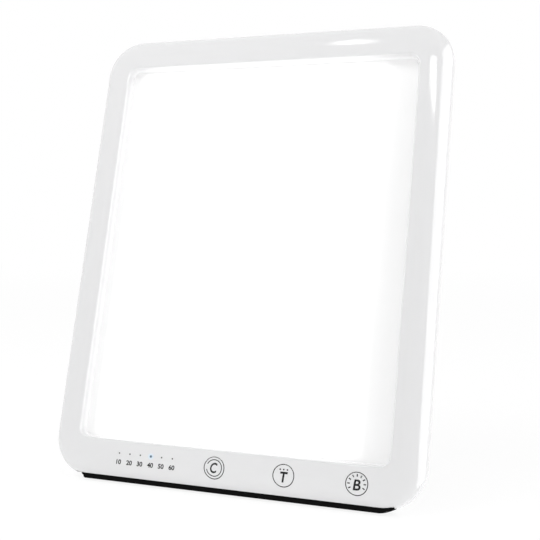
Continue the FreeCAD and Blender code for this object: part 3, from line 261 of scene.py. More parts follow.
class Finish:
    """A material with one Principled shader, built up by expressions."""

    def __init__(self, name):
        self.material = bpy.data.materials.new(name)
        self.material.use_nodes = True
        self.tree = self.material.node_tree
        self.shader = node_of(self.tree, "BSDF_PRINCIPLED")

    def node(self, kind, inputs, output=0, **settings):
        """Adds a node and gives one of its outputs."""
        return Wire(self, add_node(self.tree, kind, inputs, **settings).outputs[output])

    def paint(self, **values):
        """Sets sockets of the shader; a name's underscores stand for spaces."""
        for name, value in values.items():
            label = name.replace("_", " ").title().replace("Ior", "IOR")
            feed(self.tree, self.shader.inputs[label], value)
        return self.material

    # Patterns, all in the object's own metres

    def spot(self, turn=(0.0, 0.0, 0.0), scale=(1.0, 1.0, 1.0), centre=(0.0, 0.0, 0.0)):
        """Object coordinates, centred on a point, then turned and scaled."""
        place = self.node("ShaderNodeTexCoord", {}, "Object")
        centred = self.node("ShaderNodeVectorMath", {0: place, 1: centre}, operation="SUBTRACT")
        inputs = {"Vector": centred, "Rotation": turn, "Scale": scale}
        return self.node("ShaderNodeMapping", inputs, vector_type="POINT")

    def noise(self, scale, detail=3.0, vector=None):
        inputs = {"Vector": vector or self.spot(), "Scale": scale, "Detail": detail}
        return self.node("ShaderNodeTexNoise", inputs)

    def axes(self, vector):
        """The three numbers of a vector."""
        parts = add_node(self.tree, "ShaderNodeSeparateXYZ", {0: vector})
        return [Wire(self, socket) for socket in parts.outputs]

    def spread(self, value, low, high, from_low=0.0, from_high=1.0):
        """Maps a number's range to another one, and stays within it."""
        inputs = {0: value, 1: from_low, 2: from_high, 3: low, 4: high}
        return self.node("ShaderNodeMapRange", inputs, interpolation_type="SMOOTHSTEP")

    def ramp(self, place, stops):
        """A grey that follows a number; each stop is a place and the level there."""
        node = add_node(self.tree, "ShaderNodeValToRGB", {0: place})
        elements = node.color_ramp.elements
        while len(elements) < len(stops):
            elements.new(0.5)
        for element, (position, level) in zip(elements, stops):
            element.position = position
            element.color = (level, level, level, 1.0)
        return Wire(self, node.outputs[0])

    def blend(self, share, first, second):
        """Two colours mixed by a share."""
        return self.node("ShaderNodeMix", {0: share, 6: first, 7: second}, 2, data_type="RGBA")

    def bump(self, height, depth):
        return self.node("ShaderNodeBump", {"Height": height, "Distance": depth})

    def face_axes(self):
        """How far a point is across the lamp's face, up it and out of it."""
        x, y, z = self.axes(self.spot(centre=tuple(FACE.translation)))
        sine, cosine = FACE[1][1], FACE[2][1]
        return x, y * sine + z * cosine, z * sine - y * cosine

    def distance(self, centre):
        """How far a point of the surface is from a fixed one."""
        spot = self.spot(centre=centre)
        return self.node("ShaderNodeVectorMath", {0: spot}, "Value", operation="LENGTH")


def shade(colour, factor):
    return tuple(channel * factor for channel in colour)


# Materials; a noise's first number is its scale, in features per metre

# A small lamp's glow: how far it reaches and its colour, and where its tint and its core are
# full and where they end, in radii
HALO_RADIUS = 2.0 * MM
HALO_COLOUR = (0.72, 0.83, 0.93)
HALO_TINT = (0.3, 1.0)
HALO_CORE = (0.15, 0.45)
# How soft the edge of a lit window's glow is, and how deep its walls glow
GLOW_EDGE = 0.5 * MM
GLOW_DEPTH = (-4.5 * MM, -1.4 * MM)
# The lit panel from left to right: places on it and levels there, which near a side are in
# shares of that side's edge
LEFT_GLOW = ((0.026, 2.6), (0.037, 2.1), (0.046, 1.6), (0.056, 1.9))
EVEN_GLOW = ((0.1, 1.0), (0.8, 1.0))
RIGHT_GLOW = ((0.895, 2.1), (0.949, 1.4), (0.976, 1.0))
END_FADE = 5.0 * MM
ZINC = (0.62, 0.62, 0.63)
ZINC_ROUGHNESS = 0.32


def moulded_plastic(name, colour, roughness, peel, halo=None, window=None):
    """Injection-moulded plastic: a faint orange peel, flow marks and handling haze.

    halo is the place, the radius, the tint and the core's colour of a small lamp behind it.
    window is how far a lit window reaches to the side, down and up, and how its walls glow."""
    finish = Finish(name)
    flow = finish.noise(22.0, 4.0)
    haze = finish.noise(140.0, 3.0)
    grain = finish.noise(1400.0, 2.0)
    shown = finish.blend(flow, shade(colour, 0.985), colour)
    if halo:
        place, radius, tint, core = halo
        away = finish.distance(place)
        for lit, (full, gone) in ((tint, HALO_TINT), (core, HALO_CORE)):
            share = finish.spread(away, 1.0, 0.0, radius * full, radius * gone)
            shown = finish.blend(share, shown, lit)
    if window:
        side, low, high, glow = window
        reach = (high - low) / 2
        across, up, out = finish.face_axes()
        inside = finish.spread(abs(across), 1.0, 0.0, side, side + GLOW_EDGE)
        inside *= finish.spread(abs(up - (low + high) / 2), 1.0, 0.0, reach, reach + GLOW_EDGE)
        inside *= finish.spread(out, 1.0, 0.0, *GLOW_DEPTH)
        lit = finish.blend(inside, BLACK, (glow, glow, glow))
        finish.paint(emission_color=lit, emission_strength=1.0)
    return finish.paint(
        base_color=shown,
        roughness=finish.spread(haze, roughness * 0.85, roughness * 1.25, 0.3, 0.7),
        normal=finish.bump(grain, peel),
        specular_ior_level=0.5,
    )


def opal_glow(name, colour, strength, half_width, stops, ends):
    """Opal acrylic lit from behind; stops say how bright it is from left to right.

    ends is where its lower and upper ends are, how deep they fade and how bright they are."""
    finish = Finish(name)
    across, up, _ = finish.face_axes()
    level = finish.ramp((across + half_width) / (2 * half_width), stops)
    low, high, depth, least = ends
    reach = (high - low) / 2
    end = finish.spread(abs(up - (low + high) / 2), 0.0, 1.0, reach - depth, reach)
    level = level * (1.0 - end) + end * least
    cloud = finish.noise(60.0, 2.0)
    return finish.paint(
        base_color=finish.blend(cloud, shade(colour, 0.8), shade(colour, 0.82)),
        roughness=finish.spread(cloud, 0.32, 0.4),
        emission_color=finish.blend(level, BLACK, colour),
        emission_strength=strength,
    )


def soft_rubber(name, colour):
    """Black rubber: dull, finely grained, greyer where it is rubbed."""
    finish = Finish(name)
    grain = finish.noise(2200.0, 3.0)
    rub = finish.noise(160.0, 4.0)
    worn = finish.spread(rub, 0.0, 1.0, 0.45, 0.8)
    return finish.paint(
        base_color=finish.blend(worn, colour, shade(colour, 1.6)),
        roughness=finish.spread(rub, 0.6, 0.8),
        normal=finish.bump(grain, 20 * MICRON),
        specular_ior_level=0.05,
    )


def print_ink(name, colour):
    """Pad-printed ink: thin, satin, with pinholes too small to see by eye."""
    finish = Finish(name)
    film = finish.noise(3200.0, 2.0)
    return finish.paint(
        base_color=finish.blend(film, colour, shade(colour, 1.5)),
        roughness=finish.spread(film, 0.38, 0.5),
        normal=finish.bump(film, 4 * MICRON),
        specular_ior_level=0.2,
    )


def sheet_metal(name, colour, roughness):
    """Rolled or turned metal with fine lines along one direction."""
    finish = Finish(name)
    lines = finish.noise(1.0, 2.0, finish.spot(scale=(60.0, 4000.0, 4000.0)))
    stain = finish.noise(90.0, 3.0)
    return finish.paint(
        base_color=finish.blend(stain, shade(colour, 0.88), colour),
        metallic=1.0,
        roughness=finish.spread(lines, roughness * 0.7, roughness * 1.4, 0.3, 0.7),
        normal=finish.bump(lines, 6 * MICRON),
    )


def clear_acrylic(name, colour):
    """Polished clear sheet with a little haze."""
    finish = Finish(name)
    haze = finish.noise(200.0, 2.0)
    return finish.paint(
        base_color=finish.blend(haze, shade(colour, 0.96), colour),
        roughness=finish.spread(haze, 0.03, 0.09),
        transmission_weight=0.9,
        ior=1.49,
    )


def foam_rubber(name, colour, glow):
    """Closed-cell foam, with the light that soaks into it from the panel."""
    finish = Finish(name)
    inputs = {"Vector": finish.spot(), "Scale": 2600.0}
    cells = finish.node("ShaderNodeTexVoronoi", inputs, feature="F1")
    return finish.paint(
        base_color=finish.blend(cells, shade(colour, 0.6), colour),
        roughness=0.92,
        normal=finish.bump(cells, 80 * MICRON),
        emission_color=colour,
        emission_strength=glow,
    )


def circuit_board(name, colour, track):
    """Solder mask with copper tracks that show through as slightly paler lines."""
    finish = Finish(name)
    upright = finish.spot(turn=(math.radians(90), 0.0, 0.0))
    inputs = {"Vector": upright, "Color1": BLACK, "Color2": BLACK, "Mortar": WHITE}
    inputs.update({"Scale": 260.0, "Mortar Size": 0.06})
    tracks = finish.node("ShaderNodeTexBrick", inputs, offset=0.37)
    return finish.paint(
        base_color=finish.blend(tracks, colour, track),
        roughness=finish.spread(tracks, 0.32, 0.42),
        normal=finish.bump(tracks, 30 * MICRON),
    )


def led_package(name, colour):
    """The phosphor-filled block of an LED, faintly lit."""
    finish = Finish(name)
    phosphor = finish.noise(2500.0, 2.0)
    return finish.paint(
        base_color=finish.blend(phosphor, shade(colour, 0.8), colour),
        roughness=0.45,
        emission_color=colour,
        emission_strength=0.6,
    )


def flat_cable(name, colour, stripe, pitch):
    """White flat cable with a printed line over each conductor."""
    finish = Finish(name)
    across, _, _ = finish.axes(finish.spot())
    wave = finish.node("ShaderNodeMath", {0: across * (math.tau / pitch)}, operation="SINE")
    line = finish.spread(wave, 0.0, 1.0, 0.2, 0.8)
    return finish.paint(
        base_color=finish.blend(line, colour, stripe),
        roughness=finish.spread(finish.noise(400.0), 0.3, 0.45),
        normal=finish.bump(line, 20 * MICRON),
    )


# Settings that a user would change, and what those of one kind have in common

LENGTH = {"subtype": "DISTANCE", "unit": "LENGTH", "precision": 6}
ANGLE = {"subtype": "ANGLE", "unit": "ROTATION"}
COLOUR = {"subtype": "COLOR", "size": 3, "min": 0.0, "max": 1.0}
SHARE = {"subtype": "FACTOR", "min": 0.0, "max": 1.0}


class CaseSettings(PropertyGroup):
    white: FloatVectorProperty(
        name="Case white",
        description="Colour of the moulded case",
        default=(0.79, 0.79, 0.795),
        **COLOUR,
    )
    gloss: FloatProperty(
        name="Roughness",
        description="Roughness of the polished front",
        default=0.05,
        **SHARE,
    )
    peel: FloatProperty(
        name="Orange peel",
        description="Height of the moulding's fine waviness",
        default=0.0000025,
        **LENGTH,
    )
    wall_glow: FloatProperty(
        name="Wall glow",
        description="Light that shines through the thin walls round the window",
        default=0.14,
        min=0.0,
    )


class PanelSettings(PropertyGroup):
    light: FloatVectorProperty(
        name="Light",
        description="Colour of the lit panel",
        default=(1.0, 1.0, 1.0),
        **COLOUR,
    )
    strength: FloatProperty(
        name="Strength",
        description="How bright the panel glows; 1 is white",
        default=1.0,
        min=0.0,
    )
    left_edge: FloatProperty(
        name="Left edge",
        description="Glow of the panel's left edge, as a share of its middle's",
        default=0.1,
        **SHARE,
    )
    right_edge: FloatProperty(
        name="Right edge",
        description="Glow of the panel's right edge, as a share of its middle's",
        default=0.09,
        **SHARE,
    )
    end_edge: FloatProperty(
        name="Ends",
        description="Glow of the panel's upper and lower edges, as a share of its middle's",
        default=0.2,
        **SHARE,
    )


class RubberSettings(PropertyGroup):
    taper: FloatProperty(
        name="Taper",
        description="How far the ends of the strip under the case rise into it",
        default=1.7 * MM,
        **LENGTH,
    )
    soft_edge: FloatProperty(
        name="Soft edge",
        description="Width of the round along the strip's edges",
        default=0.35 * MM,
        **LENGTH,
    )


class PrintSettings(PropertyGroup):
    ink: FloatVectorProperty(
        name="Ink",
        description="Colour of the printed marks",
        default=(0.012, 0.012, 0.012),
        **COLOUR,
    )
    film: FloatProperty(
        name="Film",
        description="Thickness of the ink",
        default=0.03 * MM,
        **LENGTH,
    )
    minutes: StringProperty(
        name="Minutes",
        description="Figures under the timer lamps",
        default="10 20 30 40 50 60",
    )
    figure_height: FloatProperty(
        name="Figure height",
        description="Height of the timer figures",
        default=2.36 * MM,
        **LENGTH,
    )
    figure_level: FloatProperty(
        name="Figure level",
        description="Height of the figures' middle above the case's lower edge",
        default=8.2 * MM,
        **LENGTH,
    )
    ring_radius: FloatProperty(
        name="Ring radius",
        description="Outer radius of the ring round each touch key",
        default=5.3 * MM,
        **LENGTH,
    )
    ring_line: FloatProperty(
        name="Ring line",
        description="Width of the printed lines",
        default=0.4 * MM,
        **LENGTH,
    )
    letter_height: FloatProperty(
        name="Letter height",
        description="Height of the touch keys' letters",
        default=4.85 * MM,
        **LENGTH,
    )
    lamp: FloatVectorProperty(
        name="Lamp",
        description="Colour of the lit timer lamp",
        default=(0.07, 0.13, 0.19),
        **COLOUR,
    )
    lit_lamp: IntProperty(
        name="Lit lamp",
        description="Which timer lamp is lit, counted from the left",
        default=4,
        min=1,
        max=6,
    )


class ScrewSettings(PropertyGroup):
    dome: FloatProperty(
        name="Dome",
        description="How far the middle of a screw's head stands above its rim",
        default=0.6 * MM,
        **LENGTH,
    )
    recess_reach: FloatProperty(
        name="Recess reach",
        description="From the screw's axis to the end of its cross recess",
        default=1.4 * MM,
        **LENGTH,
    )
    recess_width: FloatProperty(
        name="Recess width",
        description="Width of the cross recess",
        default=0.6 * MM,
        **LENGTH,
    )
    recess_depth: FloatProperty(
        name="Recess depth",
        description="Depth of the cross recess",
        default=0.8 * MM,
        **LENGTH,
    )


class StageSettings(PropertyGroup):
    lens: FloatProperty(
        name="Lens",
        description="Focal length on a 36 mm sensor",
        default=61.3,
        min=1.0,
    )
    eye: FloatVectorProperty(
        name="Eye",
        description="Place of the camera",
        subtype="TRANSLATION",
        unit="LENGTH",
        size=3,
        default=(0.1692, -0.4336, 0.1409),
    )
    azimuth: FloatProperty(
        name="Azimuth",
        description="How far the camera turns to its left",
        default=math.radians(20.4),
        **ANGLE,
    )
    pitch: FloatProperty(
        name="Pitch",
        description="How far the camera looks down",
        default=math.radians(4.5),
        **ANGLE,
    )
    ambient: FloatProperty(
        name="Ambient",
        description="Light from all round",
        default=0.535,
        min=0.0,
    )
    key: FloatProperty(
        name="Key",
        description="Power of the large light at the upper left",
        default=3.6,
        min=0.0,
    )
    near: FloatProperty(
        name="Near",
        description="Power of the light close above the face, brightest on the top edge",
        default=0.6,
        min=0.0,
    )
    side: FloatProperty(
        name="Side",
        description="Power of the large light at the right",
        default=8.0,
        min=0.0,
    )
    rear: FloatProperty(
        name="Rear",
        description="Power of the light behind the right side, which the front doesn't see",
        default=10.0,
        min=0.0,
    )
    top: FloatProperty(
        name="Top",
        description="Power of the light above and behind the lamp, on its upper edge",
        default=2.5,
        min=0.0,
    )
    bounce: FloatProperty(
        name="Bounce",
        description="Light that comes up from the table",
        default=0.28,
        min=0.0,
    )
    glare: FloatProperty(
        name="Glare",
        description="Brightness of the two softboxes that the glossy case mirrors",
        default=5.0,
        min=0.0,
    )
    edge_glare: FloatProperty(
        name="Edge glare",
        description="Brightness of the softbox behind the lamp that its right side mirrors",
        default=4.35,
        min=0.0,
    )


# Printed marks; all sizes without a unit are shares of the mark that they belong to

LETTER_LEAN = 0.12
FIGURE_WEIGHT = 0.03
RING_CORNERS = 144
DOT_CORNERS = 24
PRINT_CUTS = 3
# Inner ring of the first key: its radius and the angles that it leaves open
INNER_RING = 0.76
RING_GAP = (155, 193)
# Letters of the keys: x and y from the ring's middle, weight and width
KEY_LETTERS = {
    "C": (-0.3 * MM, 0.0, 0.02, 0.78),
    "T": (0.0, -0.65 * MM, 0.03, 0.88),
    "B": (0.3 * MM, -0.5 * MM, 0.02, 1.0),
}
# Dots above the second key's letter
DOT_RADIUS = 0.38 * MM
DOT_PITCH = 1.75 * MM
DOT_RISE = 2.75 * MM
# Rays round the third key's letter: their ends and width, and their angles
RAY_REACH = (0.6, 0.82)
RAY_LINE = 1.3
RAY_ANGLES = range(-30, 211, 30)


def drape(item, film):
    """Lays a flat print on the domed face and gives it its thickness."""
    add_modifier(
        item,
        "SHRINKWRAP",
        target=frame["nodes"]["front_bezel"],
        wrap_method="PROJECT",
        use_project_z=True,
        use_negative_direction=True,
        use_positive_direction=True,
        offset=film,
    )
    add_modifier(item, "SOLIDIFY", thickness=film * 0.9, offset=-1.0)
    apply_modifiers(item)


def lettering(words, height, x, y, weight, width=1.0):
    """Flat letters or figures, as tall as asked and centred on a point of the face."""
    deselect_all()
    bpy.ops.object.text_add()
    text = bpy.context.object
    text.data.body = words
    text.data.resolution_u = 8
    text.data.offset = weight
    bpy.ops.object.convert(target="MESH")
    item = bpy.context.object
    xs = [vertex.co.x for vertex in item.data.vertices]
    ys = [vertex.co.y for vertex in item.data.vertices]
    item.data.transform(Matrix.Translation((-middle(xs), -middle(ys), 0.0)))
    item.data.transform(Matrix.Scale(height / span(ys), 4))
    lean = Matrix.Diagonal((width, 1.0, 1.0, 1.0))
    lean[0][1] = LETTER_LEAN
    item.data.transform(lean)
    lay(item, x, y)
    with editing(item):
        bpy.ops.mesh.remove_doubles(threshold=WELD)
        bpy.ops.mesh.subdivide(number_cuts=PRINT_CUTS)
    return item


def band(radius, line, x, y, gap=None):
    """A flat ring; gap is the pair of angles, in degrees, that it leaves open."""
    deselect_all()
    bpy.ops.mesh.primitive_circle_add(vertices=RING_CORNERS, radius=radius, fill_type="NOTHING")
    item = bpy.context.object
    with editing(item):
        bpy.ops.mesh.extrude_edges_move()
        inner = (radius - line) / radius
        bpy.ops.transform.resize(value=(inner, inner, 1.0))
        if gap:
            choose(item, "faces", lambda face: within(face.calc_center_median(), gap))
            bpy.ops.mesh.delete(type="FACE")
    return lay(item, x, y)


def within(point, gap):
    angle = math.degrees(math.atan2(point.y, point.x)) % 360
    return gap[0] < angle < gap[1]


def dot(radius, x, y):
    """A flat printed dot."""
    deselect_all()
    bpy.ops.mesh.primitive_circle_add(vertices=DOT_CORNERS, radius=radius, fill_type="TRIFAN")
    return lay(bpy.context.object, x, y)


def ray(inner, outer, line, x, y, angle):
    """A short stroke that points away from a point of the face."""
    deselect_all()
    bpy.ops.mesh.primitive_plane_add(size=1.0)
    item = bpy.context.object
    item.data.transform(Matrix.Diagonal((outer - inner, line, 1.0, 1.0)))
    item.data.transform(Matrix.Translation(((inner + outer) / 2, 0.0, 0.0)))
    item.data.transform(Matrix.Rotation(math.radians(angle), 4, "Z"))
    return lay(item, x, y)


def faces_out(item):
    """Turns every face of a flat print towards the viewer."""
    with editing(item):
        bpy.ops.mesh.normals_make_consistent(inside=False)
    if sum(polygon.normal.z * polygon.area for polygon in item.data.polygons) < 0:
        item.data.flip_normals()


def finish_print(items, name, material, film):
    """Joins flat marks into one print, drapes it and lets it ride on the lamp."""
    for item in items:
        item.data.transform(FACE.inverted() @ item.matrix_world)
        item.matrix_world = FACE
    whole = join(items)
    faces_out(whole)
    whole.matrix_world = FACE
    drape(whole, film)
    settle(whole, name, LAMP, material)


# Places on the face, taken from the CAD pieces behind it

# How far the panel laps behind the window's edge
PANEL_LAP = 4 * MM


def pipe_spots():
    """Middles of the timer lamps across the face, and their height up it."""
    points = face_points(frame["nodes"]["timer_leds"])
    sides = stations([point.x for point in points])
    xs = [middle(pair) for pair in zip(sides[::2], sides[1::2])]
    return xs, middle([point.y for point in points])


def lit_spot(prints):
    """Where the lit timer lamp shows on the face."""
    xs, level = pipe_spots()
    return FACE @ Vector((xs[prints.lit_lamp - 1], level, 0.0))


def key_spots():
    """Middles of the three touch keys, from the pads behind them."""
    points = face_points(frame["nodes"]["touch_pads"])
    points.sort(key=lambda point: point.x)
    count = len(points) // 3
    pads = [points[first : first + count] for first in range(0, 3 * count, count)]
    return [(middle([p.x for p in pad]), middle([p.y for p in pad])) for pad in pads]


def window_span():
    """How far the window reaches to the side, down and up, from the panel behind it."""
    points = face_points(frame["nodes"]["diffuser_panel"])
    side = max(point.x for point in points) - PANEL_LAP
    low = min(point.y for point in points) + PANEL_LAP
    return side, low, max(point.y for point in points) - PANEL_LAP


def screw_spots():
    """The case screws' middles, radii and levels: head's top, its seat and the tip."""
    points = face_points(frame["nodes"]["case_screws"])
    levels = stations([point.z for point in points])
    halfway = sum(point.y for point in points) / len(points)
    spots = []
    for side in (-1, 1):
        for end in (-1, 1):
            own = [p for p in points if p.x * side > 0 and (p.y - halfway) * end > 0]
            xs = [point.x for point in own]
            spots.append((middle(xs), middle([point.y for point in own])))
    shank = [point.x for point in own if point.z > levels[-1] - SAME_PLACE]
    return spots, (span(xs) / 2, span(shank) / 2), (levels[0], levels[1], levels[-1])


# The rubber strip; its ends start at STRIP_STRAIGHT from the middle, and a corner is in an
# end from STRIP_GAP further out, or STRIP_BEYOND times as far

STRIP_STRAIGHT = 75.5 * MM
STRIP_GAP = 0.2 * MM
STRIP_BEYOND = 1.002
LOWER_EDGE = 0.6 * MM
TAPER_CURVE = 1.5
# How long the left and the right end are, against the solid's
LEFT_END = 0.4
RIGHT_END = 1.2


def clean_copy(name):
    """A copy of a CAD piece, to be shaped further."""
    item = twin(frame["nodes"][name])
    with editing(item):
        bpy.ops.mesh.remove_doubles(threshold=WELD)
        bpy.ops.mesh.dissolve_limited(angle_limit=FLAT_ANGLE)
    return item


def on_lower_edge(place, station):
    """Whether a place on the face is on the strip's lower edge, this far from its middle."""
    return abs(abs(place.x) - station) < SAME_PLACE and place.y < LOWER_EDGE


def taper_ends(item, rise):
    """Lifts the lower edge of the strip's ends, more and more from where they start."""
    to_face = FACE.inverted()
    xs = [place.x for place in face_points(item)]
    reach = max(xs) - STRIP_STRAIGHT
    ends = stations([abs(x) for x in xs if abs(x) > STRIP_STRAIGHT + STRIP_GAP])
    with editing(item):
        for station in ends:
            lift = rise * ((station - STRIP_STRAIGHT) / reach) ** TAPER_CURVE
            choose(item, "verts", lambda vertex: on_lower_edge(to_face @ vertex.co, station))
            bpy.ops.transform.translate(value=tuple(FACE.to_3x3() @ Vector((0.0, lift, 0.0))))


def stretch_end(item, start, factor):
    """Makes a bar longer or shorter beyond a place along it."""
    with editing(item):
        choose(item, "verts", lambda vertex: vertex.co.x / start > STRIP_BEYOND)
        bpy.ops.transform.resize(value=(factor, 1.0, 1.0), center_override=(start, 0.0, 0.0))


# Screws; the tip's radius and the length of its cone are in shank radii

TIP_RADIUS = 0.7
TIP_LENGTH = 0.4
DOME_STEP = 11
DOME_RINGS = 8
SCREW_CORNERS = 48
CROSS_TAPER = 0.45
SCREW_EDGE = 0.06 * MM
SCREW_TURN = 0.4


def grow(rise, factor):
    """In edit mode, extrudes the selected cap upwards and scales it."""
    bpy.ops.mesh.extrude_region_move(TRANSFORM_OT_translate={"value": (0.0, 0.0, rise)})
    bpy.ops.transform.resize(value=(factor, factor, 1.0))


def screw_blank(head, shank, height, length, dome):
    """A pan-head screw that stands on its tip, with the head's top at z = 0."""
    deselect_all()
    bpy.ops.mesh.primitive_circle_add(
        vertices=SCREW_CORNERS,
        radius=shank * TIP_RADIUS,
        fill_type="NGON",
        location=(0.0, 0.0, -height - length),
    )
    item = bpy.context.object
    with editing(item):
        grow(shank * TIP_LENGTH, 1 / TIP_RADIUS)
        grow(length - shank * TIP_LENGTH, 1.0)
        grow(0.0, head / shank)
        grow(height - dome, 1.0)
        steps = [math.radians(90 - DOME_STEP * number) for number in range(DOME_RINGS)]
        for last, turn in zip(steps, steps[1:]):
            rise = dome * (math.cos(turn) - math.cos(last)) / math.cos(steps[-1])
            grow(rise, math.sin(turn) / math.sin(last))
    return item


def cut_cross(item, reach, width, depth):
    """Cuts a tapered cross recess into a head whose top is at z = 0."""
    for turn in (0.0, 90.0):
        deselect_all()
        bpy.ops.mesh.primitive_cube_add(size=1.0)
        blade = bpy.context.object
        blade.data.transform(Matrix.Diagonal((2 * reach, width, 2 * depth, 1.0)))
        blade.data.transform(Matrix.Rotation(math.radians(turn), 4, "Z"))
        with editing(blade):
            choose(blade, "faces", lambda face: face.normal.z < -0.5)
            bpy.ops.transform.resize(value=(CROSS_TAPER, CROSS_TAPER, 1.0))
        add_modifier(item, "BOOLEAN", object=blade, operation="DIFFERENCE", solver="EXACT")
        apply_modifiers(item)
        bpy.data.objects.remove(blade)


def dress(material, *names):
    """Gives CAD pieces their finish."""
    for name in names:
        for slot in frame["nodes"][name].material_slots:
            slot.material = material


# Operators, one for each piece or group of like pieces


class LAMP_OT_case(Operator):
    """Finish the bezel, the rear cover and the leg"""

    bl_idname = "lamp.case"
    bl_label = "Case"

    def execute(self, context):
        case = context.scene.lamp_case
        colour = tuple(case.white)
        prints = context.scene.lamp_prints
        halo = (lit_spot(prints), HALO_RADIUS, HALO_COLOUR, tuple(prints.lamp))
        window = (*window_span(), case.wall_glow)
        polished = moulded_plastic("polished_white", colour, case.gloss, case.peel, halo, window)
        dress(polished, "front_bezel")
        satin = moulded_plastic("satin_white", colour, case.gloss * 4.0, case.peel * 2)
        dress(satin, "rear_cover", "stand_leg")
        return {"FINISHED"}


class LAMP_OT_panel(Operator):
    """Light the opal panel and finish the sheets behind it"""

    bl_idname = "lamp.light_panel"
    bl_label = "Light panel"

    def execute(self, context):
        panel = context.scene.lamp_panel
        low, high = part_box("diffuser_panel")
        stops = [(place, level * panel.left_edge) for place, level in LEFT_GLOW]
        stops += EVEN_GLOW
        stops += [(place, level * panel.right_edge) for place, level in RIGHT_GLOW]
        ends = (*window_span()[1:], END_FADE, panel.end_edge)
        light = tuple(panel.light)
        half_width = (high.x - low.x) / 2
        opal = opal_glow("opal_glow", light, panel.strength, half_width, stops, ends)
        dress(opal, "diffuser_panel")
        dress(clear_acrylic("clear_acrylic", (0.93, 0.96, 0.97)), "light_guide")
        dress(moulded_plastic("white_film", (0.9, 0.9, 0.9), 0.4, 2 * MICRON), "reflector_sheet")
        dress(foam_rubber("white_foam", (0.85, 0.85, 0.86), 0.4), "foam_gasket", "touch_pads")
        dress(sheet_metal("tray_aluminium", (0.75, 0.76, 0.77), 0.4), "backing_tray")
        white_mask = circuit_board("white_board", (0.8, 0.8, 0.76), (0.86, 0.86, 0.83))
        dress(white_mask, "led_strip_left", "led_strip_right")
        phosphor = led_package("led_phosphor", (0.95, 0.85, 0.45))
        dress(phosphor, "led_chips_left", "led_chips_right")
        return {"FINISHED"}


class LAMP_OT_electronics(Operator):
    """Finish the boards and what is on them"""

    bl_idname = "lamp.electronics"
    bl_label = "Electronics"

    def execute(self, context):
        green_mask = circuit_board("green_board", (0.012, 0.12, 0.04), (0.03, 0.2, 0.07))
        dress(green_mask, "main_board", "touch_board")
        dress(sheet_metal("brass", (0.72, 0.52, 0.24), 0.3), "board_spacers")
        zinc = sheet_metal("zinc_steel", ZINC, ZINC_ROUGHNESS)
        dress(zinc, "board_screws", "touch_board_screws")
        ribbon = flat_cable("ribbon_white", (0.8, 0.8, 0.8), (0.55, 0.55, 0.56), 1.0 * MM)
        dress(ribbon, "board_ribbon")
        black = (0.012, 0.012, 0.012)
        for name, colour, roughness, peel, *nodes in (
            ("grey_sheath", (0.45, 0.45, 0.43), 0.5, 4, "led_leads"),
            ("ferrite", (0.03, 0.03, 0.032), 0.6, 10, "power_inductor"),
            ("black_plastic", black, 0.4, 6, "control_chips", "power_socket"),
            ("cream_plastic", (0.75, 0.7, 0.52), 0.45, 4, "board_connectors"),
            ("nylon", (0.7, 0.68, 0.6), 0.5, 4, "hinge_washers"),
        ):
            dress(moulded_plastic(name, colour, roughness, peel * MICRON), *nodes)
        dress(sheet_metal("can_aluminium", (0.8, 0.8, 0.8), 0.25), "capacitors")
        dress(sheet_metal("bright_steel", (0.8, 0.8, 0.8), 0.12), "power_socket_pin", "hinge_pin")
        return {"FINISHED"}


class LAMP_OT_rubber(Operator):
    """Finish the rubber strip and the leg's foot"""

    bl_idname = "lamp.rubber"
    bl_label = "Rubber parts"

    def execute(self, context):
        settings = context.scene.lamp_rubber
        rubber = soft_rubber("black_rubber", (0.003, 0.003, 0.003))
        dress(rubber, "leg_foot")
        strip = clean_copy("rubber_strip")
        taper_ends(strip, settings.taper)
        stretch_end(strip, -STRIP_STRAIGHT, LEFT_END)
        stretch_end(strip, STRIP_STRAIGHT, RIGHT_END)
        add_modifier(strip, "BEVEL", width=settings.soft_edge, segments=3, limit_method="ANGLE")
        apply_modifiers(strip)
        settle(strip, "soft_strip", LAMP, rubber)
        bpy.ops.object.shade_smooth_by_angle(angle=SMOOTH_ANGLE)
        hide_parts("rubber_strip")
        return {"FINISHED"}


class LAMP_OT_screws(Operator):
    """Put pan-head screws with a cross recess in place of the plain case screws"""

    bl_idname = "lamp.case_screws"
    bl_label = "Case screws"

    def execute(self, context):
        screws = context.scene.lamp_screws
        spots, (head, shank), (top, seat, tip) = screw_spots()
        first = screw_blank(head, shank, seat - top, tip - seat, screws.dome)
        cut_cross(first, screws.recess_reach, screws.recess_width, screws.recess_depth)
        keep_place(first)
        items = [first] + [twin(first) for _ in spots[1:]]
        for number, (item, (x, y)) in enumerate(zip(items, spots)):
            turn = Matrix.Rotation(math.pi, 4, "X") @ Matrix.Rotation(SCREW_TURN * number, 4, "Z")
            item.data.transform(FACE @ Matrix.Translation((x, y, top)) @ turn)
        whole = join(items)
        add_modifier(whole, "BEVEL", width=SCREW_EDGE, segments=2, limit_method="ANGLE")
        apply_modifiers(whole)
        zinc = sheet_metal("zinc_screw", ZINC, ZINC_ROUGHNESS)
        settle(whole, "case_screws_cross", LAMP, zinc)
        bpy.ops.object.shade_smooth_by_angle(angle=SMOOTH_ANGLE)
        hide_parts("case_screws")
        return {"FINISHED"}


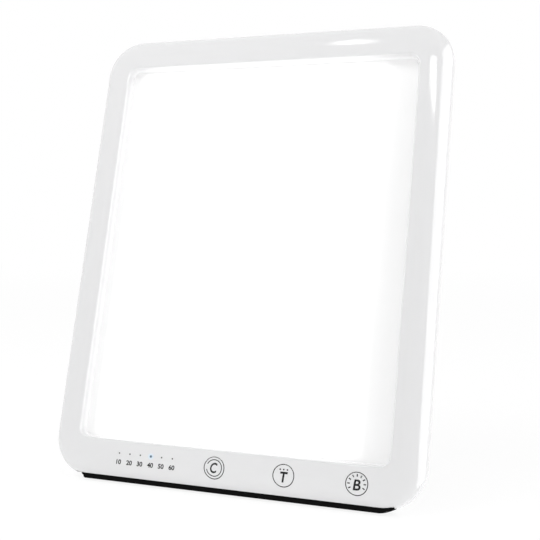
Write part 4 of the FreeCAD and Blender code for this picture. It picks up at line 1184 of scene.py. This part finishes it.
class LAMP_OT_timer(Operator):
    """Print the timer's figures and light one of its lamps"""

    bl_idname = "lamp.timer"
    bl_label = "Timer"

    def execute(self, context):
        prints = context.scene.lamp_prints
        ink = print_ink("figure_ink", shade(tuple(prints.ink), 1.5))
        xs, _ = pipe_spots()
        words = prints.minutes.split()
        if len(words) != len(xs):
            raise RuntimeError("the timer needs one figure for each lamp")
        figures = [
            lettering(word, prints.figure_height, x, prints.figure_level, FIGURE_WEIGHT)
            for word, x in zip(words, xs)
        ]
        finish_print(figures, "timer_figures", ink, prints.film)
        lamp = tuple(prints.lamp)
        halo = (lit_spot(prints), HALO_RADIUS, lamp, lamp)
        pipe = moulded_plastic("dark_pipe", (0.01, 0.01, 0.011), 0.4, 2 * MICRON, halo)
        dress(pipe, "timer_light_pipe")
        dress(led_package("timer_lamp", (0.2, 0.5, 1.0)), "timer_leds")
        return {"FINISHED"}


class LAMP_OT_keys(Operator):
    """Print the rings, letters and rays of the touch keys"""

    bl_idname = "lamp.touch_keys"
    bl_label = "Touch keys"

    def execute(self, context):
        prints = context.scene.lamp_prints
        ink = print_ink("key_ink", tuple(prints.ink))
        radius = prints.ring_radius
        line = prints.ring_line
        spots = key_spots()
        colour_key, timer_key, bright_key = spots
        rings = [band(radius, line, x, y) for x, y in spots]
        rings.append(band(radius * INNER_RING, line, *colour_key, gap=RING_GAP))
        finish_print(rings, "key_rings", ink, prints.film)
        letters = [
            lettering(letter, prints.letter_height, x + across, y + up, weight, width)
            for (x, y), (letter, (across, up, weight, width)) in zip(spots, KEY_LETTERS.items())
        ]
        finish_print(letters, "key_letters", ink, prints.film)
        x, y = timer_key
        dots = [dot(DOT_RADIUS, x + step * DOT_PITCH, y + DOT_RISE) for step in (-1, 0, 1)]
        finish_print(dots, "key_dots", ink, prints.film)
        inner, outer = (radius * share for share in RAY_REACH)
        strokes = [ray(inner, outer, line * RAY_LINE, *bright_key, angle) for angle in RAY_ANGLES]
        finish_print(strokes, "key_rays", ink, prints.film)
        return {"FINISHED"}


# The stage

# Each light's name, its place, what it points at, its width and height and its setting
LIGHTS = (
    ("key_light", (-0.65, -0.5, 1.05), (0.0, 0.0, 0.1), 0.6, 0.6, "key"),
    ("near_light", (0.0, -0.2, 0.68), (0.0, 0.03, 0.22), 0.3, 0.3, "near"),
    ("right_light", (2.2, -0.3, 1.0), (0.0, 0.0, 0.1), 1.2, 1.6, "side"),
    ("rear_light", (2.4, 0.7, 0.6), (0.0, 0.0, 0.1), 1.2, 1.2, "rear"),
    ("top_light", (-0.2, 0.9, 1.6), (0.0, 0.0, 0.2), 0.8, 0.8, "top"),
)
# Each softbox's name, the point of the case that mirrors it, the way there from that point,
# its width and height, its form and its setting
ROUND = "ELLIPSE"
SQUARE = "RECTANGLE"
SOFTBOXES = (
    ("top_glare", (0.045, 0.018, 0.2185), (-0.261, -0.545, 0.796), 0.15, 1.0, ROUND, "glare"),
    ("side_glare", (0.0868, 0.0107, 0.2014), (0.2126, -0.7363, 0.642), 1.5, 0.22, ROUND, "glare"),
    ("edge_glare", (0.094, -0.01, 0.1), (0.98, 0.0, 0.2), 5.0, 3.8, SQUARE, "edge_glare"),
)
SOFTBOX_DISTANCE = 3.0
WATTS_PER_RADIANCE = 3.1
SENSOR_WIDTH = 36.0
FLOOR_SIZE = 60.0
FLOOR_GAP = 0.2 * MM
# The floor as the eye sees it: how much its shadows show, what it adds to them, and how
# far from the lamp it turns into the white background
SHADOW_TONE = (0.16, 0.16, 0.16)
FLOOR_GLOW = 0.86
FLOOR_FADE = (0.3, 1.5)


def area_light(name, place, aim, width, height, power):
    light = bpy.data.lights.new(name, "AREA")
    light.shape = SQUARE
    light.size = width
    light.size_y = height
    light.energy = power
    item = bpy.data.objects.new(name, light)
    bpy.context.scene.collection.objects.link(item)
    item.location = place
    item.rotation_euler = (Vector(aim) - Vector(place)).to_track_quat("-Z", "Y").to_euler()
    item.visible_glossy = False
    return item


def reflected_light(name, mirror, along, width, height, form, radiance):
    """A softbox, level from side to side, whose only trace is its reflection at one point."""
    out = Vector(along).normalized()
    side = (Vector((1, 0, 0)) - out * out.x).normalized()
    place = Vector(mirror) + out * SOFTBOX_DISTANCE
    power = radiance * width * height * WATTS_PER_RADIANCE
    item = area_light(name, place, mirror, width, height, power)
    item.data.shape = form
    item.rotation_euler = Matrix((side, out.cross(side), out)).transposed().to_euler()
    item.visible_glossy = True
    item.visible_diffuse = False
    item.visible_camera = False


def white_seen_from_afar(tree, shown, lit):
    """Mixes what the eye and glossy things see with what lights the object."""
    path = add_node(tree, "ShaderNodeLightPath", {}).outputs
    seen = path["Is Camera Ray"]
    for kind in ("Is Glossy Ray", "Is Transmission Ray"):
        seen = add_node(tree, "ShaderNodeMath", {0: seen, 1: path[kind]}, operation="MAXIMUM")
    return add_node(tree, "ShaderNodeMixShader", {0: seen, 1: lit, 2: shown})


def share_by_distance(tree, near, far):
    """A share that grows from 0 to 1 between two distances from the object's middle."""
    place = add_node(tree, "ShaderNodeTexCoord", {}).outputs["Object"]
    away = add_node(tree, "ShaderNodeVectorMath", {0: place}, operation="LENGTH")
    inputs = {0: away.outputs["Value"], 1: near, 2: far}
    return add_node(tree, "ShaderNodeMapRange", inputs, interpolation_type="SMOOTHSTEP")


def add_floor(bounce):
    deselect_all()
    bpy.ops.mesh.primitive_plane_add(size=FLOOR_SIZE, location=(0.0, 0.0, -FLOOR_GAP))
    floor = bpy.context.object
    floor.name = "floor"
    finish = Finish("white_floor")
    finish.paint(base_color=(0.95, 0.95, 0.95), roughness=0.8)
    finish.paint(emission_color=WHITE, emission_strength=bounce)
    tree = finish.tree
    shadow = add_node(tree, "ShaderNodeBsdfDiffuse", {"Color": SHADOW_TONE})
    glow = add_node(tree, "ShaderNodeEmission", {"Strength": FLOOR_GLOW})
    total = add_node(tree, "ShaderNodeAddShader", {0: shadow, 1: glow})
    white = add_node(tree, "ShaderNodeEmission", {})
    inputs = {0: share_by_distance(tree, *FLOOR_FADE), 1: total, 2: white}
    faded = add_node(tree, "ShaderNodeMixShader", inputs)
    mixed = white_seen_from_afar(tree, faded, finish.shader)
    feed(tree, node_of(tree, "OUTPUT_MATERIAL").inputs["Surface"], mixed)
    floor.data.materials.append(finish.material)
    floor.visible_glossy = False


def add_world(ambient):
    world = bpy.data.worlds.new("soft_world")
    bpy.context.scene.world = world
    world.use_nodes = True
    tree = world.node_tree
    lit = node_of(tree, "BACKGROUND")
    feed(tree, lit.inputs["Strength"], ambient)
    feed(tree, lit.inputs["Color"], WHITE)
    shown = add_node(tree, "ShaderNodeBackground", {"Color": WHITE, "Strength": 1.0})
    mixed = white_seen_from_afar(tree, shown, lit)
    feed(tree, node_of(tree, "OUTPUT_WORLD").inputs["Surface"], mixed)


def add_camera(stage):
    data = bpy.data.cameras.new("camera")
    data.lens = stage.lens
    data.sensor_width = SENSOR_WIDTH
    camera = bpy.data.objects.new("camera", data)
    bpy.context.scene.collection.objects.link(camera)
    camera.location = stage.eye
    camera.rotation_euler = (math.pi / 2 - stage.pitch, 0.0, stage.azimuth)
    bpy.context.scene.camera = camera


class LAMP_OT_stage(Operator):
    """Add the floor, the lights, the world and the camera"""

    bl_idname = "lamp.stage"
    bl_label = "Stage"

    def execute(self, context):
        stage = context.scene.lamp_stage
        add_floor(stage.bounce)
        add_world(stage.ambient)
        for *light, setting in LIGHTS:
            area_light(*light, getattr(stage, setting))
        for *softbox, setting in SOFTBOXES:
            reflected_light(*softbox, getattr(stage, setting))
        add_camera(stage)
        context.scene.view_settings.view_transform = "Standard"
        return {"FINISHED"}


class LAMP_PT_lamp(Panel):
    """Lists the lamp's pieces and their settings"""

    bl_idname = "LAMP_PT_lamp"
    bl_label = "Therapy Lamp"
    bl_space_type = "VIEW_3D"
    bl_region_type = "UI"
    bl_category = "Therapy Lamp"

    def draw(self, context):
        for operator, group in STEPS:
            self.layout.operator(operator.bl_idname)
            settings = getattr(context.scene, group) if group else None
            for name in settings.__annotations__ if settings else ():
                self.layout.prop(settings, name)


GROUPS = {
    "lamp_case": CaseSettings,
    "lamp_panel": PanelSettings,
    "lamp_rubber": RubberSettings,
    "lamp_prints": PrintSettings,
    "lamp_screws": ScrewSettings,
    "lamp_stage": StageSettings,
}
STEPS = (
    (LAMP_OT_case, "lamp_case"),
    (LAMP_OT_panel, "lamp_panel"),
    (LAMP_OT_electronics, None),
    (LAMP_OT_rubber, "lamp_rubber"),
    (LAMP_OT_screws, "lamp_screws"),
    (LAMP_OT_timer, "lamp_prints"),
    (LAMP_OT_keys, None),
    (LAMP_OT_stage, "lamp_stage"),
)


def register():
    for group in GROUPS.values():
        bpy.utils.register_class(group)
    for operator, _ in STEPS:
        bpy.utils.register_class(operator)
    bpy.utils.register_class(LAMP_PT_lamp)
    for name, group in GROUPS.items():
        setattr(bpy.types.Scene, name, PointerProperty(type=group))


def unregister():
    for name in GROUPS:
        delattr(bpy.types.Scene, name)
    bpy.utils.unregister_class(LAMP_PT_lamp)
    for operator, _ in reversed(STEPS):
        bpy.utils.unregister_class(operator)
    for group in reversed(GROUPS.values()):
        bpy.utils.unregister_class(group)


def main():
    register()
    for operator, _ in STEPS:
        area, name = operator.bl_idname.split(".")
        getattr(getattr(bpy.ops, area), name)()


if __name__ == "__main__":
    main()
